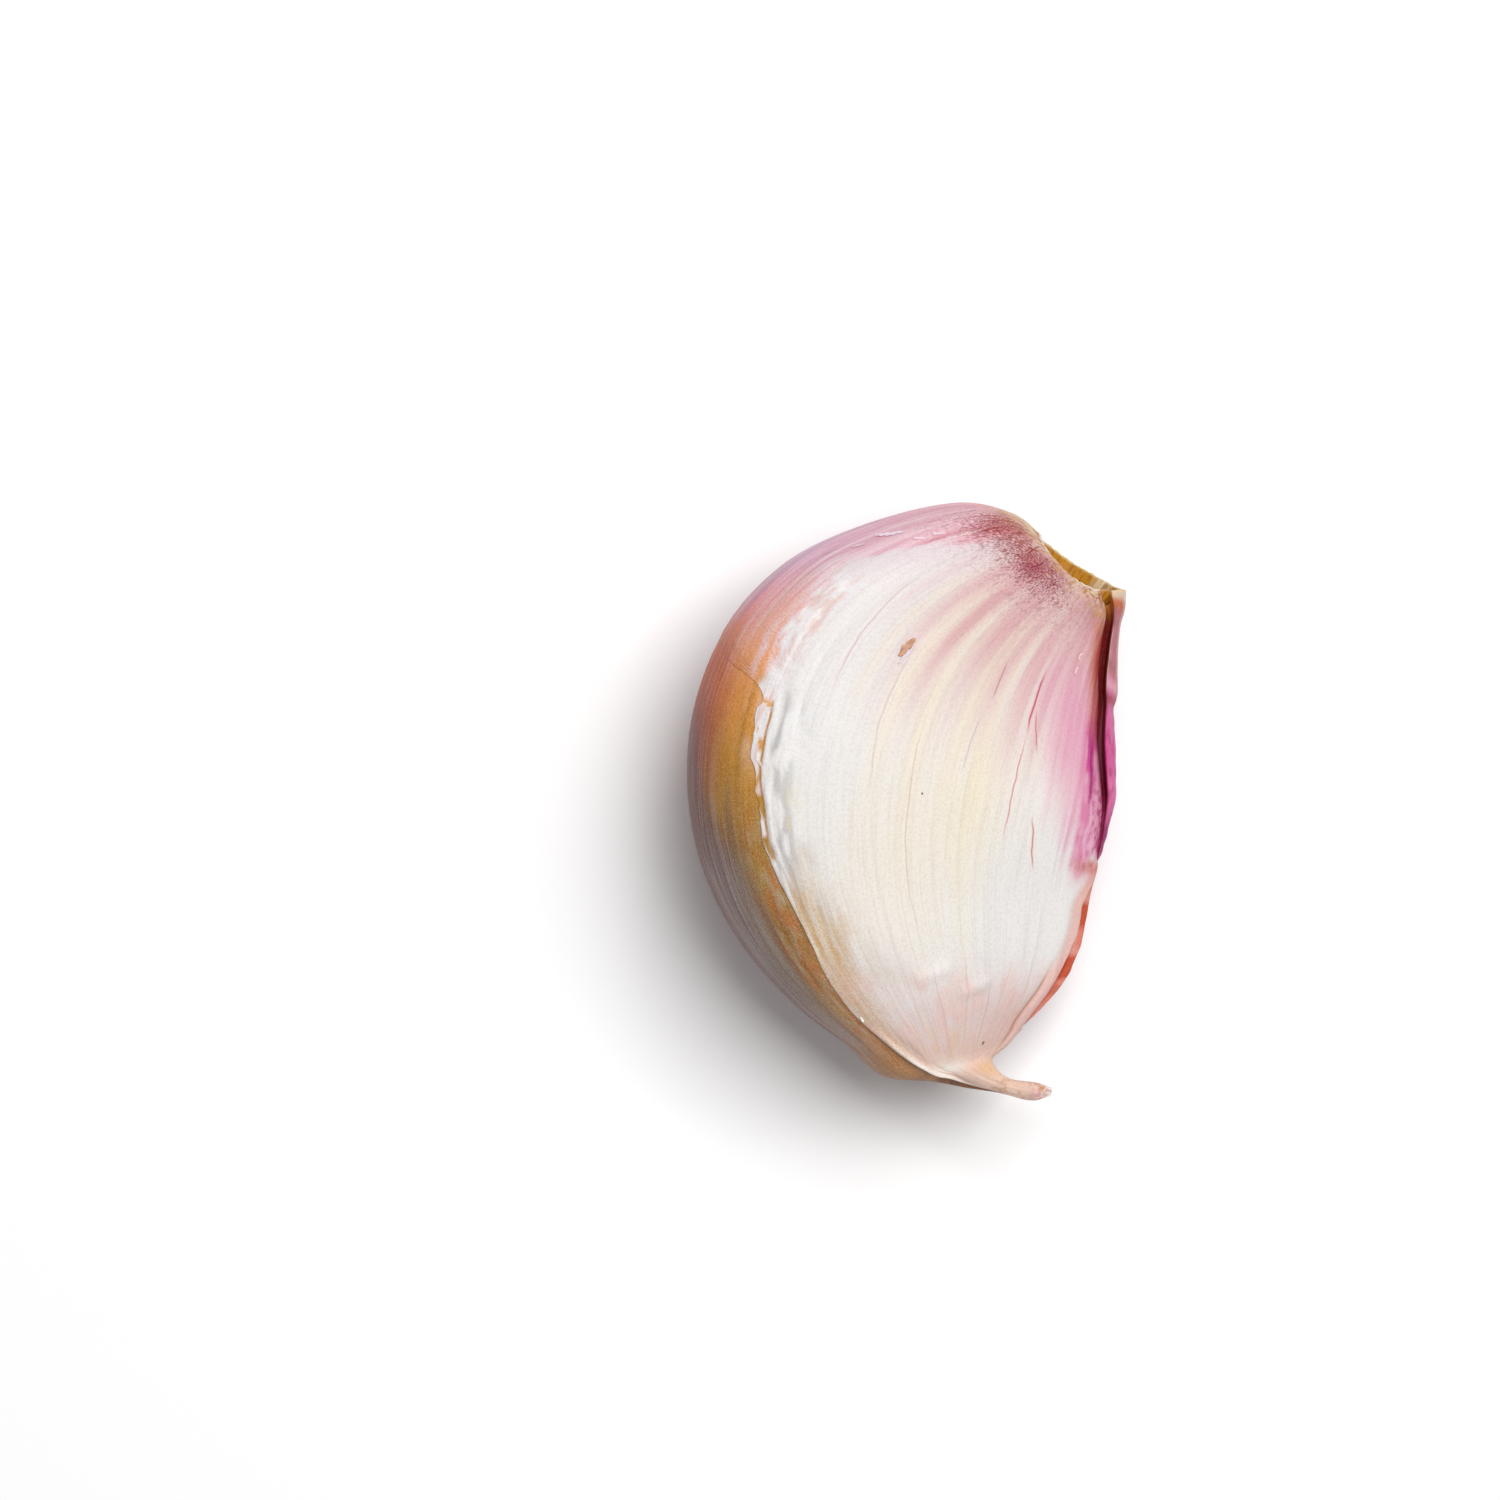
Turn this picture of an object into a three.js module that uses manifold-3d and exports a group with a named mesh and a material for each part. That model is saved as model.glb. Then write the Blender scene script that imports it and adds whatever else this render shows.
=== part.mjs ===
// One loose garlic clove in its dry skin, lying on one of its two flat sides.
// Millimetres, +Z up. The origin is on the surface that the clove lies on, under the middle of its
// box. +Y runs from the tail towards the root end, +X from the round back towards the keel.
//
// A clove is shaped like a segment of an orange: a round back, two flat sides that meet in a thin
// keel, a scooped root end where it broke away from the bulb, and a tail where its skin dries to a
// twist. It is lofted through stations between two outlines, the back and the keel. The second piece
// is the white papery leaf, torn from the bulb's wrapping, that still covers the upper flat side.
import * as THREE from "three";
import Module from "manifold-3d";
import { mergeVertices } from "three/addons/utils/BufferGeometryUtils.js";

// Driving dimensions.
const LENGTH = 32; // from the shoulder to the tip of the tail
const THICKNESS = 17.4; // from the flat side underneath to the top, at its thickest
const LEAF_THICKNESS = 0.3; // of the papery leaf, with the air under it
const LEAF_SEAT = 0.72; // how far the clove's own skin lies under the middle of the leaf
const LIP_RISE = 0.3; // how far the leaf's torn edge rolls up at the tail
const RIM_WALL = 0.45; // of the skin where it stands round the root scar
const SCAR_DEPTH = 0.8; // of the root scar under that rim
const REST_CUT = 0.35; // how much of the curved underside the flat resting spot takes off
const RIM_DIP_TOP = 1.04; // how far the rim is scooped inwards on top
const RIM_DIP_UNDER = 0.28; // and underneath
const SCOOP_FADES = 0.1; // the share of the clove along which that scoop fades out

// Mesh steps.
const AROUND = 72;
const ALONG = 66;
const LEAF_ACROSS = 20;
const LEAF_ALONG = 54;

// Stations from the root end to the tip of the tail, in shares of LENGTH: where the back and the
// keel are in plan, then the thickness there and how high the underside is, in shares of THICKNESS.
const STATIONS = [
  { back: [0.222, 0.443], keel: [0.366, 0.354], thick: 0.36, low: 0.32 },
  { back: [0.17, 0.481], keel: [0.358, 0.301], thick: 0.53, low: 0.22 },
  { back: [0.078, 0.498], keel: [0.35, 0.238], thick: 0.7, low: 0.135 },
  { back: [-0.063, 0.466], keel: [0.347, 0.171], thick: 0.845, low: 0.06 },
  { back: [-0.197, 0.403], keel: [0.347, 0.095], thick: 0.94, low: 0.015 },
  { back: [-0.301, 0.296], keel: [0.347, 0.02], thick: 0.99, low: 0 },
  { back: [-0.356, 0.162], keel: [0.338, -0.047], thick: 1.01, low: 0 },
  { back: [-0.368, 0.02], keel: [0.321, -0.11], thick: 0.99, low: 0 },
  { back: [-0.343, -0.114], keel: [0.304, -0.172], thick: 0.925, low: 0.015 },
  { back: [-0.282, -0.236], keel: [0.284, -0.248], thick: 0.81, low: 0.06 },
  { back: [-0.193, -0.338], keel: [0.252, -0.311], thick: 0.65, low: 0.13 },
  { back: [-0.105, -0.406], keel: [0.203, -0.365], thick: 0.48, low: 0.205 },
  { back: [-0.042, -0.459], keel: [0.168, -0.408], thick: 0.32, low: 0.27 },
  { back: [0.037, -0.467], keel: [0.143, -0.433], thick: 0.205, low: 0.315 },
  { back: [0.11, -0.482], keel: [0.162, -0.46], thick: 0.095, low: 0.35 },
  { back: [0.2, -0.5], keel: [0.208, -0.473], thick: 0.062, low: 0.368 },
  { back: [0.239, -0.492], keel: [0.242, -0.484], thick: 0.018, low: 0.382 },
];
const TAIL_START = 0.74; // where the wedge section starts to round off into the tail
const TAIL_ROUND = 0.9; // where it is round

// The tail narrows and swells again into a small knob: along, share of its width.
const TAIL_SWELL = [
  [0.84, 1],
  [0.875, 0.96],
  [0.905, 0.8],
  [0.9375, 1],
  [0.965, 1.14],
  [1, 1],
];

// The wedge section, once round from the keel over the top: around, how far across from the back (0)
// to the keel (1), and how high between the underside (0) and the top (1).
const SECTION = [
  [0, 1, 0.36],
  [0.024, 0.966, 0.428],
  [0.07, 0.89, 0.515],
  [0.12, 0.8, 0.605],
  [0.18, 0.685, 0.715],
  [0.24, 0.555, 0.825],
  [0.3, 0.42, 0.915],
  [0.35, 0.305, 0.97],
  [0.395, 0.205, 0.99],
  [0.43, 0.135, 0.965],
  [0.46, 0.08, 0.9],
  [0.49, 0.035, 0.79],
  [0.52, 0.008, 0.66],
  [0.55, 0, 0.52],
  [0.58, 0.012, 0.38],
  [0.61, 0.045, 0.25],
  [0.64, 0.095, 0.145],
  [0.68, 0.175, 0.06],
  [0.73, 0.29, 0.012],
  [0.78, 0.41, 0],
  [0.83, 0.535, 0.015],
  [0.88, 0.665, 0.06],
  [0.92, 0.775, 0.12],
  [0.955, 0.87, 0.19],
  [0.98, 0.94, 0.26],
  [1, 1, 0.36],
];

// The fin that stands on the keel: mm inwards from the keel (outwards and underneath where
// negative), height in mm.
const FIN = [
  [-1.2, 0],
  [-0.5, 0.1],
  [-0.15, 0.3],
  [0, 0.62],
  [0.12, 0.88],
  [0.38, 0.9],
  [0.5, 0.7],
  [0.62, 0.08],
  [0.8, 0],
];
// How wide the fin is along the clove, and how high, against those numbers. It runs out before the
// middle.
const FIN_SIZE = [
  [0, 1.2, 0.3],
  [0.033, 1.1, 0.92],
  [0.06, 1, 1],
  [0.28, 1, 1],
  [0.343, 0.6, 0.9],
  [0.389, 0.48, 0.52],
  [0.43, 0.25, 0],
  [1, 0.25, 0],
];

// Where the papery leaf ends: along, then around at its keel side and around at its torn side. Near
// the root end it wraps over the whole back; past a step in its torn edge it leaves the back bare.
const LEAF_EDGES = [
  [0.085, 0.074, 0.572],
  [0.1, 0.067, 0.572],
  [0.17, 0.051, 0.572],
  [0.25, 0.042, 0.57],
  [0.3, 0.038, 0.562],
  [0.32, 0.037, 0.54],
  [0.34, 0.036, 0.485],
  [0.358, 0.034, 0.436],
  [0.37, 0.033, 0.424],
  [0.4, 0.03, 0.42],
  [0.44, 0.027, 0.412],
  [0.5, 0.026, 0.4],
  [0.56, 0.027, 0.391],
  [0.63, 0.03, 0.4],
  [0.68, 0.034, 0.392],
  [0.73, 0.05, 0.36],
  [0.76, 0.07, 0.345],
  [0.785, 0.09, 0.336],
];
const LEAF_FROM = LEAF_EDGES[0][0];
const LEAF_TO = LEAF_EDGES.at(-1)[0];

const { clamp, lerp, smoothstep } = THREE.MathUtils;

/** Where a value of the rising first column lies in a table, in rows from the first. */
function placeIn(rows, value) {
  const next = rows.findIndex((row) => row[0] >= value);
  if (next === 0) return 0;
  if (next < 0) return rows.length - 1;
  const [before, after] = [rows[next - 1][0], rows[next][0]];
  return next - 1 + (value - before) / (after - before);
}

/** A value between the rows of a table. */
function reading(rows, value, column = 1) {
  const place = placeIn(rows, value);
  const before = Math.floor(place);
  return lerp(rows[before][column], rows[Math.ceil(place)][column], place - before);
}

/** A smooth curve through one value or point of every station. */
function rail(pick) {
  return new THREE.CatmullRomCurve3(STATIONS.map((s) => pick(s)), false, "centripetal");
}

const backRail = rail((s) => new THREE.Vector3(s.back[0] * LENGTH, s.back[1] * LENGTH, 0));
const keelRail = rail((s) => new THREE.Vector3(s.keel[0] * LENGTH, s.keel[1] * LENGTH, 0));
const heightRail = rail((s) => new THREE.Vector3(s.thick * THICKNESS, s.low * THICKNESS, 0));
const sectionCurve = new THREE.CatmullRomCurve3(
  SECTION.map(([, across, high]) => new THREE.Vector3(across, high, 0)),
);

/** Around, from 0 to 1, for any number of turns. */
function wrapped(around) {
  return ((around % 1) + 1) % 1;
}

/** Across and high, 0 to 1, on the section that the clove has this far along. */
function sectionAt(along, around) {
  const turn = wrapped(around);
  const wedge = sectionCurve.getPoint(placeIn(SECTION, turn) / (SECTION.length - 1));
  const angle = turn * 2 * Math.PI;
  const round = new THREE.Vector3((1 + Math.cos(angle)) / 2, (1 + Math.sin(angle)) / 2, 0);
  const section = wedge.lerp(round, smoothstep(along, TAIL_START, TAIL_ROUND));
  const swell = reading(TAIL_SWELL, along);
  return section.addScalar(-0.5).multiplyScalar(swell).addScalar(0.5);
}

/** How high the fin on the keel stands over the section. */
function finRise(along, around, across, width) {
  const side = wrapped(around) < 0.5 ? 1 : -1;
  const inwards = (1 - across) * width * side;
  const at = inwards > 0 ? inwards / reading(FIN_SIZE, along, 1) : inwards;
  return reading(FIN, at) * reading(FIN_SIZE, along, 2);
}

/**
 * A point of the skin without its fin: along from the root end (0) to the tail (1), around from the
 * keel over the top.
 */
function smoothPoint(along, around) {
  const t = clamp(along, 0, 1);
  const section = sectionAt(t, around);
  const height = heightRail.getPoint(t);
  const point = backRail.getPoint(t).lerp(keelRail.getPoint(t), section.x);
  point.z = height.y + height.x * section.y - REST_CUT;
  return point;
}

/** The outward direction of the skin without its fin. */
function skinNormal(along, around) {
  const step = 0.006;
  const [before, after] = [Math.max(along - step, 0), Math.min(along + step, 1)];
  const forward = smoothPoint(after, around).sub(smoothPoint(before, around));
  const round = smoothPoint(along, around + step).sub(smoothPoint(along, around - step));
  return round.cross(forward).normalize();
}

/** A point of the skin, moved outwards by lift, with the fin on the keel. */
function lifted(along, around, lift) {
  const t = clamp(along, 0, 1);
  const width = backRail.getPoint(t).distanceTo(keelRail.getPoint(t));
  const point = smoothPoint(along, around).addScaledVector(skinNormal(along, around), lift);
  point.z += finRise(t, around, sectionAt(t, around).x, width);
  return point;
}

/** 1 where the papery leaf covers the clove, easing to 0 round its edge. */
function underLeaf(along, around) {
  const turn = wrapped(around);
  const room = lerp(0.014, 0.04, smoothstep(along, 0.68, 0.76));
  const keelSide = Math.max(reading(LEAF_EDGES, along, 1) - room, 0.014);
  const tornSide = reading(LEAF_EDGES, along - 0.018, 2) + 0.025; // the step needs more room
  const fromRoot = smoothstep(along, 0.02, 0.055);
  const toTail = 1 - smoothstep(along, LEAF_TO + 0.03, LEAF_TO + 0.07);
  const fromKeel = smoothstep(turn, keelSide - 0.01, keelSide);
  const toTorn = 1 - smoothstep(turn, tornSide, tornSide + 0.03);
  return fromRoot * toTail * fromKeel * toTorn;
}

// The root end: a scooped rim round a shallow scar.
const rootMiddle = new THREE.Vector3();
for (let i = 0; i < AROUND; i++) rootMiddle.addScaledVector(smoothPoint(0, i / AROUND), 1 / AROUND);
const rootChord = keelRail.getPoint(0).sub(backRail.getPoint(0));
const rootInwards = new THREE.Vector3(rootChord.y, -rootChord.x, 0).normalize();

/**
 * How far the rim is scooped inwards: more on top, so that the scar shows from above, and fading
 * along the clove.
 */
function scoop(along, around) {
  const section = sectionAt(0, around);
  const dip = lerp(RIM_DIP_UNDER, RIM_DIP_TOP, section.y);
  const depth = dip * Math.sin(Math.PI * clamp(section.x, 0, 1));
  return depth * (1 - smoothstep(along, 0, SCOOP_FADES));
}

/** A point over the scooped skin by lift. */
function scooped(along, around, lift) {
  return lifted(along, around, lift).addScaledVector(rootInwards, scoop(along, around));
}

/** A point of the body's surface, sunk where the papery leaf covers it. */
function bodyPoint(along, around) {
  return scooped(along, around, -LEAF_SEAT * underLeaf(along, around));
}

/** A point inside the rim, by how much of the opening it keeps and how deep it lies. */
function scarPoint(around, share, depth) {
  return bodyPoint(0, around)
    .sub(rootMiddle)
    .multiplyScalar(share)
    .add(rootMiddle)
    .addScaledVector(rootInwards, depth);
}

const openingRadius = smoothPoint(0, 0).distanceTo(smoothPoint(0, 0.5)) / 2;
const rimShare = 1 - RIM_WALL / openingRadius;
// The rows before the body, from the middle of the scar outwards: how much of the opening each
// keeps, and its depth.
const SCAR_ROWS = [
  { share: 0, depth: SCAR_DEPTH * 0.8 },
  { share: rimShare * 0.55, depth: SCAR_DEPTH },
  { share: rimShare, depth: SCAR_DEPTH * 0.9 },
  { share: rimShare, depth: 0.12 },
];

/**
 * The place round the section of each column of the clove: close together at the keel and wider
 * apart on the back.
 */
function columnTurn(column) {
  const share = (column % AROUND) / AROUND;
  return share - (0.75 * Math.sin(2 * Math.PI * share)) / (2 * Math.PI);
}

/** One row of the clove's surface: the scar, then the body from its rim to the tip of the tail. */
function clovePoint(row, around) {
  if (row < SCAR_ROWS.length) return scarPoint(around, SCAR_ROWS[row].share, SCAR_ROWS[row].depth);
  if (row === ALONG) return smoothPoint(1, 0).lerp(smoothPoint(1, 0.5), 0.5);
  return bodyPoint((row - SCAR_ROWS.length) / (ALONG - SCAR_ROWS.length), around);
}

/** A geometry with only its places, and with the corners that meet made one. */
function merged(geometry) {
  geometry.deleteAttribute("normal");
  geometry.deleteAttribute("uv");
  return mergeVertices(geometry, 1e-4);
}

/** The clove: a sphere's rows and columns, each point moved to its place on the skin. */
function cloveGeometry() {
  const geometry = new THREE.SphereGeometry(1, AROUND, ALONG);
  const { position } = geometry.attributes;
  for (let row = 0; row <= ALONG; row++) {
    for (let column = 0; column <= AROUND; column++) {
      const point = clovePoint(row, 1 - columnTurn(column));
      position.setXYZ(row * (AROUND + 1) + column, point.x, point.y, point.z);
    }
  }
  return merged(geometry);
}

/** The papery leaf: a flat slab bent over the clove, its rows running from keel to torn side. */
function leafGeometry() {
  const geometry = new THREE.BoxGeometry(1, 1, 1, LEAF_ACROSS, LEAF_ALONG, 1);
  const { position } = geometry.attributes;
  for (let i = 0; i < position.count; i++) {
    const along = lerp(LEAF_FROM, LEAF_TO, 0.5 - position.getY(i));
    const share = 0.5 - position.getX(i);
    const across = share - (0.5 * Math.sin(2 * Math.PI * share)) / (2 * Math.PI);
    const tornSide = reading(LEAF_EDGES, along, 2);
    const around = lerp(reading(LEAF_EDGES, along, 1), tornSide, across);
    const nearTorn = smoothstep(around, tornSide - 0.03, tornSide - 0.008);
    const lip = LIP_RISE * smoothstep(along, 0.64, 0.73) * nearTorn;
    const point = scooped(along, around, (position.getZ(i) - 0.5) * LEAF_THICKNESS + lip);
    position.setXYZ(i, point.x, point.y, point.z);
  }
  return merged(geometry);
}

const wasm = await Module();
wasm.setup();

/** A closed geometry as a solid that can be cut. */
function solidOf(geometry) {
  const mesh = new wasm.Mesh({
    numProp: 3,
    vertProperties: geometry.attributes.position.array,
    triVerts: new Uint32Array(geometry.index.array),
  });
  return new wasm.Manifold(mesh);
}

/** A solid as a geometry. */
function geometryOf(solid) {
  const mesh = solid.getMesh();
  const geometry = new THREE.BufferGeometry();
  geometry.setAttribute("position", new THREE.BufferAttribute(mesh.vertProperties, 3));
  geometry.setIndex(new THREE.BufferAttribute(mesh.triVerts, 1));
  geometry.computeVertexNormals();
  return geometry;
}

/** A geometry with everything under the resting surface cut off, which leaves a small flat spot. */
function restedFlat(geometry) {
  const floor = new THREE.BoxGeometry(2 * LENGTH, 2 * LENGTH, LENGTH).translate(0, 0, -LENGTH / 2);
  return geometryOf(solidOf(geometry).subtract(solidOf(merged(floor))));
}

/** One named piece. */
function piece(name, geometry, color, roughness) {
  const material = new THREE.MeshStandardMaterial({ color, roughness, metalness: 0 });
  const mesh = new THREE.Mesh(geometry, material);
  mesh.name = name;
  return mesh;
}

const garlicClove = new THREE.Group();
garlicClove.add(piece("clove", restedFlat(cloveGeometry()), "#b98a78", 0.5));
garlicClove.add(piece("papery_leaf", geometryOf(solidOf(leafGeometry())), "#efe6dc", 0.6));

// The box's middle comes over the origin.
const box = new THREE.Box3().setFromObject(garlicClove);
const middle = box.getCenter(new THREE.Vector3());
garlicClove.position.set(-middle.x, -middle.y, 0);

export default garlicClove;
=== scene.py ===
import math

import bmesh
import bpy
import numpy as np
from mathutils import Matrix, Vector


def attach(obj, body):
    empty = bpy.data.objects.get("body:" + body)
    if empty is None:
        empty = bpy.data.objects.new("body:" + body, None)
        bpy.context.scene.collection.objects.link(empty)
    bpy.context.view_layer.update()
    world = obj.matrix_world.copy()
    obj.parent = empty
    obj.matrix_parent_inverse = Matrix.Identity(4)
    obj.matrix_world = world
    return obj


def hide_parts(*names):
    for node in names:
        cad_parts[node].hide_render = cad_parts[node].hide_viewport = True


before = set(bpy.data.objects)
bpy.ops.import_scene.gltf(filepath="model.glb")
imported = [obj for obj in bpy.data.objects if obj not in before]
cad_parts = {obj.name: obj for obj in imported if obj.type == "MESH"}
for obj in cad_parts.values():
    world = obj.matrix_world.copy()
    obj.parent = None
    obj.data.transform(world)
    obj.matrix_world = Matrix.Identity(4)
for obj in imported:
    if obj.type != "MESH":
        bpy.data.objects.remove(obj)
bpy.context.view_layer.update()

# ---------------------------------------------------------------- sizes
MM = 0.001
LENGTH = 32 * MM
THICKNESS = 17.4 * MM
REST_CUT = 0.35 * MM

# Stations from the root end to the tip of the tail. Back and keel are places in plan, in shares of LENGTH;
# thick and low are the thickness and the height of the underside, in shares of THICKNESS.
STATIONS = np.array([
    # back x, back y, keel x, keel y, thick, low
    (0.222, 0.443, 0.366, 0.354, 0.36, 0.32),
    (0.17, 0.481, 0.358, 0.301, 0.53, 0.22),
    (0.078, 0.498, 0.35, 0.238, 0.7, 0.135),
    (-0.063, 0.466, 0.347, 0.171, 0.845, 0.06),
    (-0.197, 0.403, 0.347, 0.095, 0.94, 0.015),
    (-0.301, 0.296, 0.347, 0.02, 0.99, 0.0),
    (-0.356, 0.162, 0.338, -0.047, 1.01, 0.0),
    (-0.368, 0.02, 0.321, -0.11, 0.99, 0.0),
    (-0.343, -0.114, 0.304, -0.172, 0.925, 0.015),
    (-0.282, -0.236, 0.284, -0.248, 0.81, 0.06),
    (-0.193, -0.338, 0.252, -0.311, 0.65, 0.13),
    (-0.105, -0.406, 0.203, -0.365, 0.48, 0.205),
    (-0.042, -0.459, 0.168, -0.408, 0.32, 0.27),
    (0.037, -0.467, 0.143, -0.433, 0.205, 0.315),
    (0.11, -0.482, 0.162, -0.46, 0.095, 0.35),
    (0.2, -0.5, 0.208, -0.473, 0.062, 0.368),
    (0.239, -0.492, 0.242, -0.484, 0.018, 0.382),
])
STATION_KNOTS = np.linspace(0, 1, len(STATIONS))

# The wedge section: around, then how far across from the back (0) to the keel (1), and how high from the
# underside (0) to the top (1).
SECTION = np.array([
    (0.0, 1.0, 0.36), (0.012, 0.985, 0.4), (0.024, 0.966, 0.428), (0.04, 0.94, 0.46),
    (0.07, 0.89, 0.515), (0.12, 0.8, 0.605), (0.18, 0.685, 0.715), (0.24, 0.555, 0.825),
    (0.3, 0.42, 0.915), (0.35, 0.305, 0.97), (0.395, 0.205, 0.99), (0.43, 0.135, 0.965),
    (0.46, 0.08, 0.9), (0.49, 0.035, 0.79), (0.52, 0.008, 0.66), (0.55, 0.0, 0.52),
    (0.58, 0.012, 0.38), (0.61, 0.045, 0.25), (0.64, 0.095, 0.145), (0.68, 0.175, 0.06),
    (0.73, 0.29, 0.012), (0.78, 0.41, 0.0), (0.83, 0.535, 0.015), (0.88, 0.665, 0.06),
    (0.92, 0.775, 0.12), (0.955, 0.87, 0.19), (0.98, 0.94, 0.26), (1.0, 1.0, 0.36),
])

# The tail narrows and swells again into a small knob: along, share of its width.
TAIL_SWELL = ((0.84, 1.0), (0.875, 0.96), (0.905, 0.8), (0.9375, 1.0), (0.965, 1.14), (1.0, 1.0))

# The fin on the keel and the groove beside it: mm inwards from the keel, height over the smooth shape in mm.
FIN = np.array([
    (-1.2, 0.0), (-0.5, 0.1), (-0.15, 0.3), (0.0, 0.62), (0.08, 0.84), (0.2, 0.92), (0.44, 0.9),
    (0.56, 0.72), (0.64, 0.1), (0.72, -0.34), (0.84, -0.5), (1.0, -0.44), (1.12, -0.22),
    (1.22, -0.06), (1.38, -0.02), (1.6, 0.0),
])
# along, how wide the fin is, how high, and how far its edge is pushed out in mm
FIN_SIZE = (
    (0.0, 1.22, 0.3, 0.0), (0.017, 1.18, 0.62, 0.06), (0.033, 1.12, 0.92, 0.08), (0.055, 1.04, 1.0, 0.05),
    (0.069, 0.98, 1.0, -0.03), (0.091, 1.0, 1.0, 0.01), (0.109, 1.02, 1.0, 0.08), (0.13, 1.02, 1.0, 0.15),
    (0.168, 1.04, 1.0, 0.2), (0.186, 1.0, 1.0, 0.13), (0.201, 0.94, 1.0, -0.02), (0.224, 1.0, 1.0, 0.04),
    (0.244, 1.05, 1.0, 0.11), (0.276, 0.98, 1.0, 0.1), (0.305, 0.82, 1.0, 0.1), (0.326, 0.66, 1.0, 0.1),
    (0.343, 0.6, 0.9, 0.06), (0.366, 0.56, 0.74, -0.02), (0.389, 0.48, 0.52, -0.03),
    (0.416, 0.36, 0.26, -0.02), (0.43, 0.24, 0.1, -0.12), (0.447, 0.16, 0.0, -0.08), (0.47, 0.16, 0.0, 0.0),
    (1.0, 0.16, 0.0, 0.0),
)
# Where the papery leaf ends at the keel: along, mm inwards from the keel.
KEEL_EDGE = (
    (0.0, 1.34), (0.033, 1.26), (0.069, 1.18), (0.109, 1.23), (0.168, 1.23), (0.201, 1.11), (0.25, 1.16),
    (0.305, 0.9), (0.343, 0.64), (0.366, 0.58), (0.389, 0.51), (0.416, 0.38), (0.434, 0.2), (0.46, 0.16),
    (0.484, 0.32), (0.504, 0.48), (0.525, 0.38), (0.562, 0.44), (0.6, 0.52), (0.626, 0.54), (0.657, 0.44),
    (0.687, 0.24), (0.71, 0.06), (0.73, 0.0), (1.0, 0.0),
)
# Where its torn edge lies: along, around. Near the root end the leaf wraps over the whole back.
TORN_EDGE = (
    (0.0, 0.575), (0.2, 0.574), (0.3, 0.568), (0.316, 0.552), (0.326, 0.526), (0.3325, 0.5), (0.337, 0.48),
    (0.34, 0.464), (0.3425, 0.45), (0.346, 0.437), (0.351, 0.428), (0.3575, 0.424), (0.364, 0.426),
    (0.377, 0.424), (0.392, 0.422), (0.3975, 0.4235), (0.4075, 0.4205), (0.418, 0.415), (0.427, 0.417),
    (0.436, 0.414), (0.443, 0.412), (0.455, 0.41), (0.47, 0.408), (0.4845, 0.404), (0.5, 0.3995),
    (0.512, 0.396), (0.539, 0.3905), (0.574, 0.392), (0.604, 0.3985), (0.639, 0.4005), (0.6725, 0.3955),
    (0.697, 0.3855), (0.722, 0.3665), (0.749, 0.346), (0.787, 0.338), (0.82, 0.338), (0.852, 0.35),
    (0.88, 0.372), (0.905, 0.415), (0.94, 0.465), (1.0, 0.49),
)
# Where the whole sheet ends inside the torn edge: along, around. Beyond it only thin film is left.
SHEET_EDGE = (
    (0.24, 0.4), (0.29, 0.404), (0.335, 0.404), (0.3506, 0.41), (0.366, 0.408), (0.3875, 0.4085),
    (0.414, 0.408), (0.431, 0.4045), (0.446, 0.402), (0.464, 0.4005), (0.4845, 0.3985), (0.5, 0.42),
)


# ---------------------------------------------------------------- curves and noise
def curve(knots, values, at):
    """A smooth curve through values at knots, read at many places."""
    knots, values, at = np.asarray(knots, float), np.asarray(values, float), np.asarray(at, float)
    slopes = np.gradient(values, knots, axis=0)
    i = np.clip(np.searchsorted(knots, at, side="right") - 1, 0, len(knots) - 2)
    span = knots[i + 1] - knots[i]
    t = np.clip((at - knots[i]) / span, 0, 1)
    if values.ndim > 1:
        t, span = t[..., None], span[..., None]
    rise = values[i + 1] - values[i]
    start, end = slopes[i] * span, slopes[i + 1] * span
    return values[i] + t * start + t**2 * (3 * rise - 2 * start - end) + t**3 * (start + end - 2 * rise)


def reading(table, at):
    """A smooth curve through the rows of a table, whose first column is the place."""
    table = np.array(table)
    return curve(table[:, 0], table[:, 1] if table.shape[1] == 2 else table[:, 1:], at)


def ease(low, high, x):
    """0 at low, 1 at high, and a smooth step between them. Low may be above high."""
    t = np.clip((np.asarray(x, float) - low) / (high - low), 0, 1)
    return t * t * (3 - 2 * t)


def band(rise, full, fall, end, x):
    """1 from full to fall, and 0 before rise and after end."""
    return ease(rise, full, x) * ease(end, fall, x)


def hump(centre, width, x):
    """A smooth hump of height 1."""
    return np.exp(-(((np.asarray(x, float) - centre) / width) ** 2))


def noise(seed, along, around, per_length, per_turn):
    """Smooth random hills and hollows from about -1 to 1, so many along the clove and so many round it."""
    hills = np.random.default_rng(seed).uniform(-1, 1, (per_turn, per_length + 2))
    x = np.mod(around, 1) * per_turn
    y = np.clip(along, 0, 1) * per_length
    i, j = np.floor(x).astype(int), np.floor(y).astype(int)
    u, v = ease(0, 1, x - i), ease(0, 1, y - j)
    one, two = i % per_turn, (i + 1) % per_turn
    near = hills[one, j] * (1 - v) + hills[one, j + 1] * v
    far = hills[two, j] * (1 - v) + hills[two, j + 1] * v
    return near * (1 - u) + far * u


def folds(seed, along, around, per_length, per_turn):
    """Random sharp ridges from 0 to 1."""
    return 1 - np.minimum(np.abs(noise(seed, along, around, per_length, per_turn)) * 2.2, 1)


MM_ALONG, MM_AROUND = 40, 48  # about how long the clove's skin is, and how far it is round it


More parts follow.
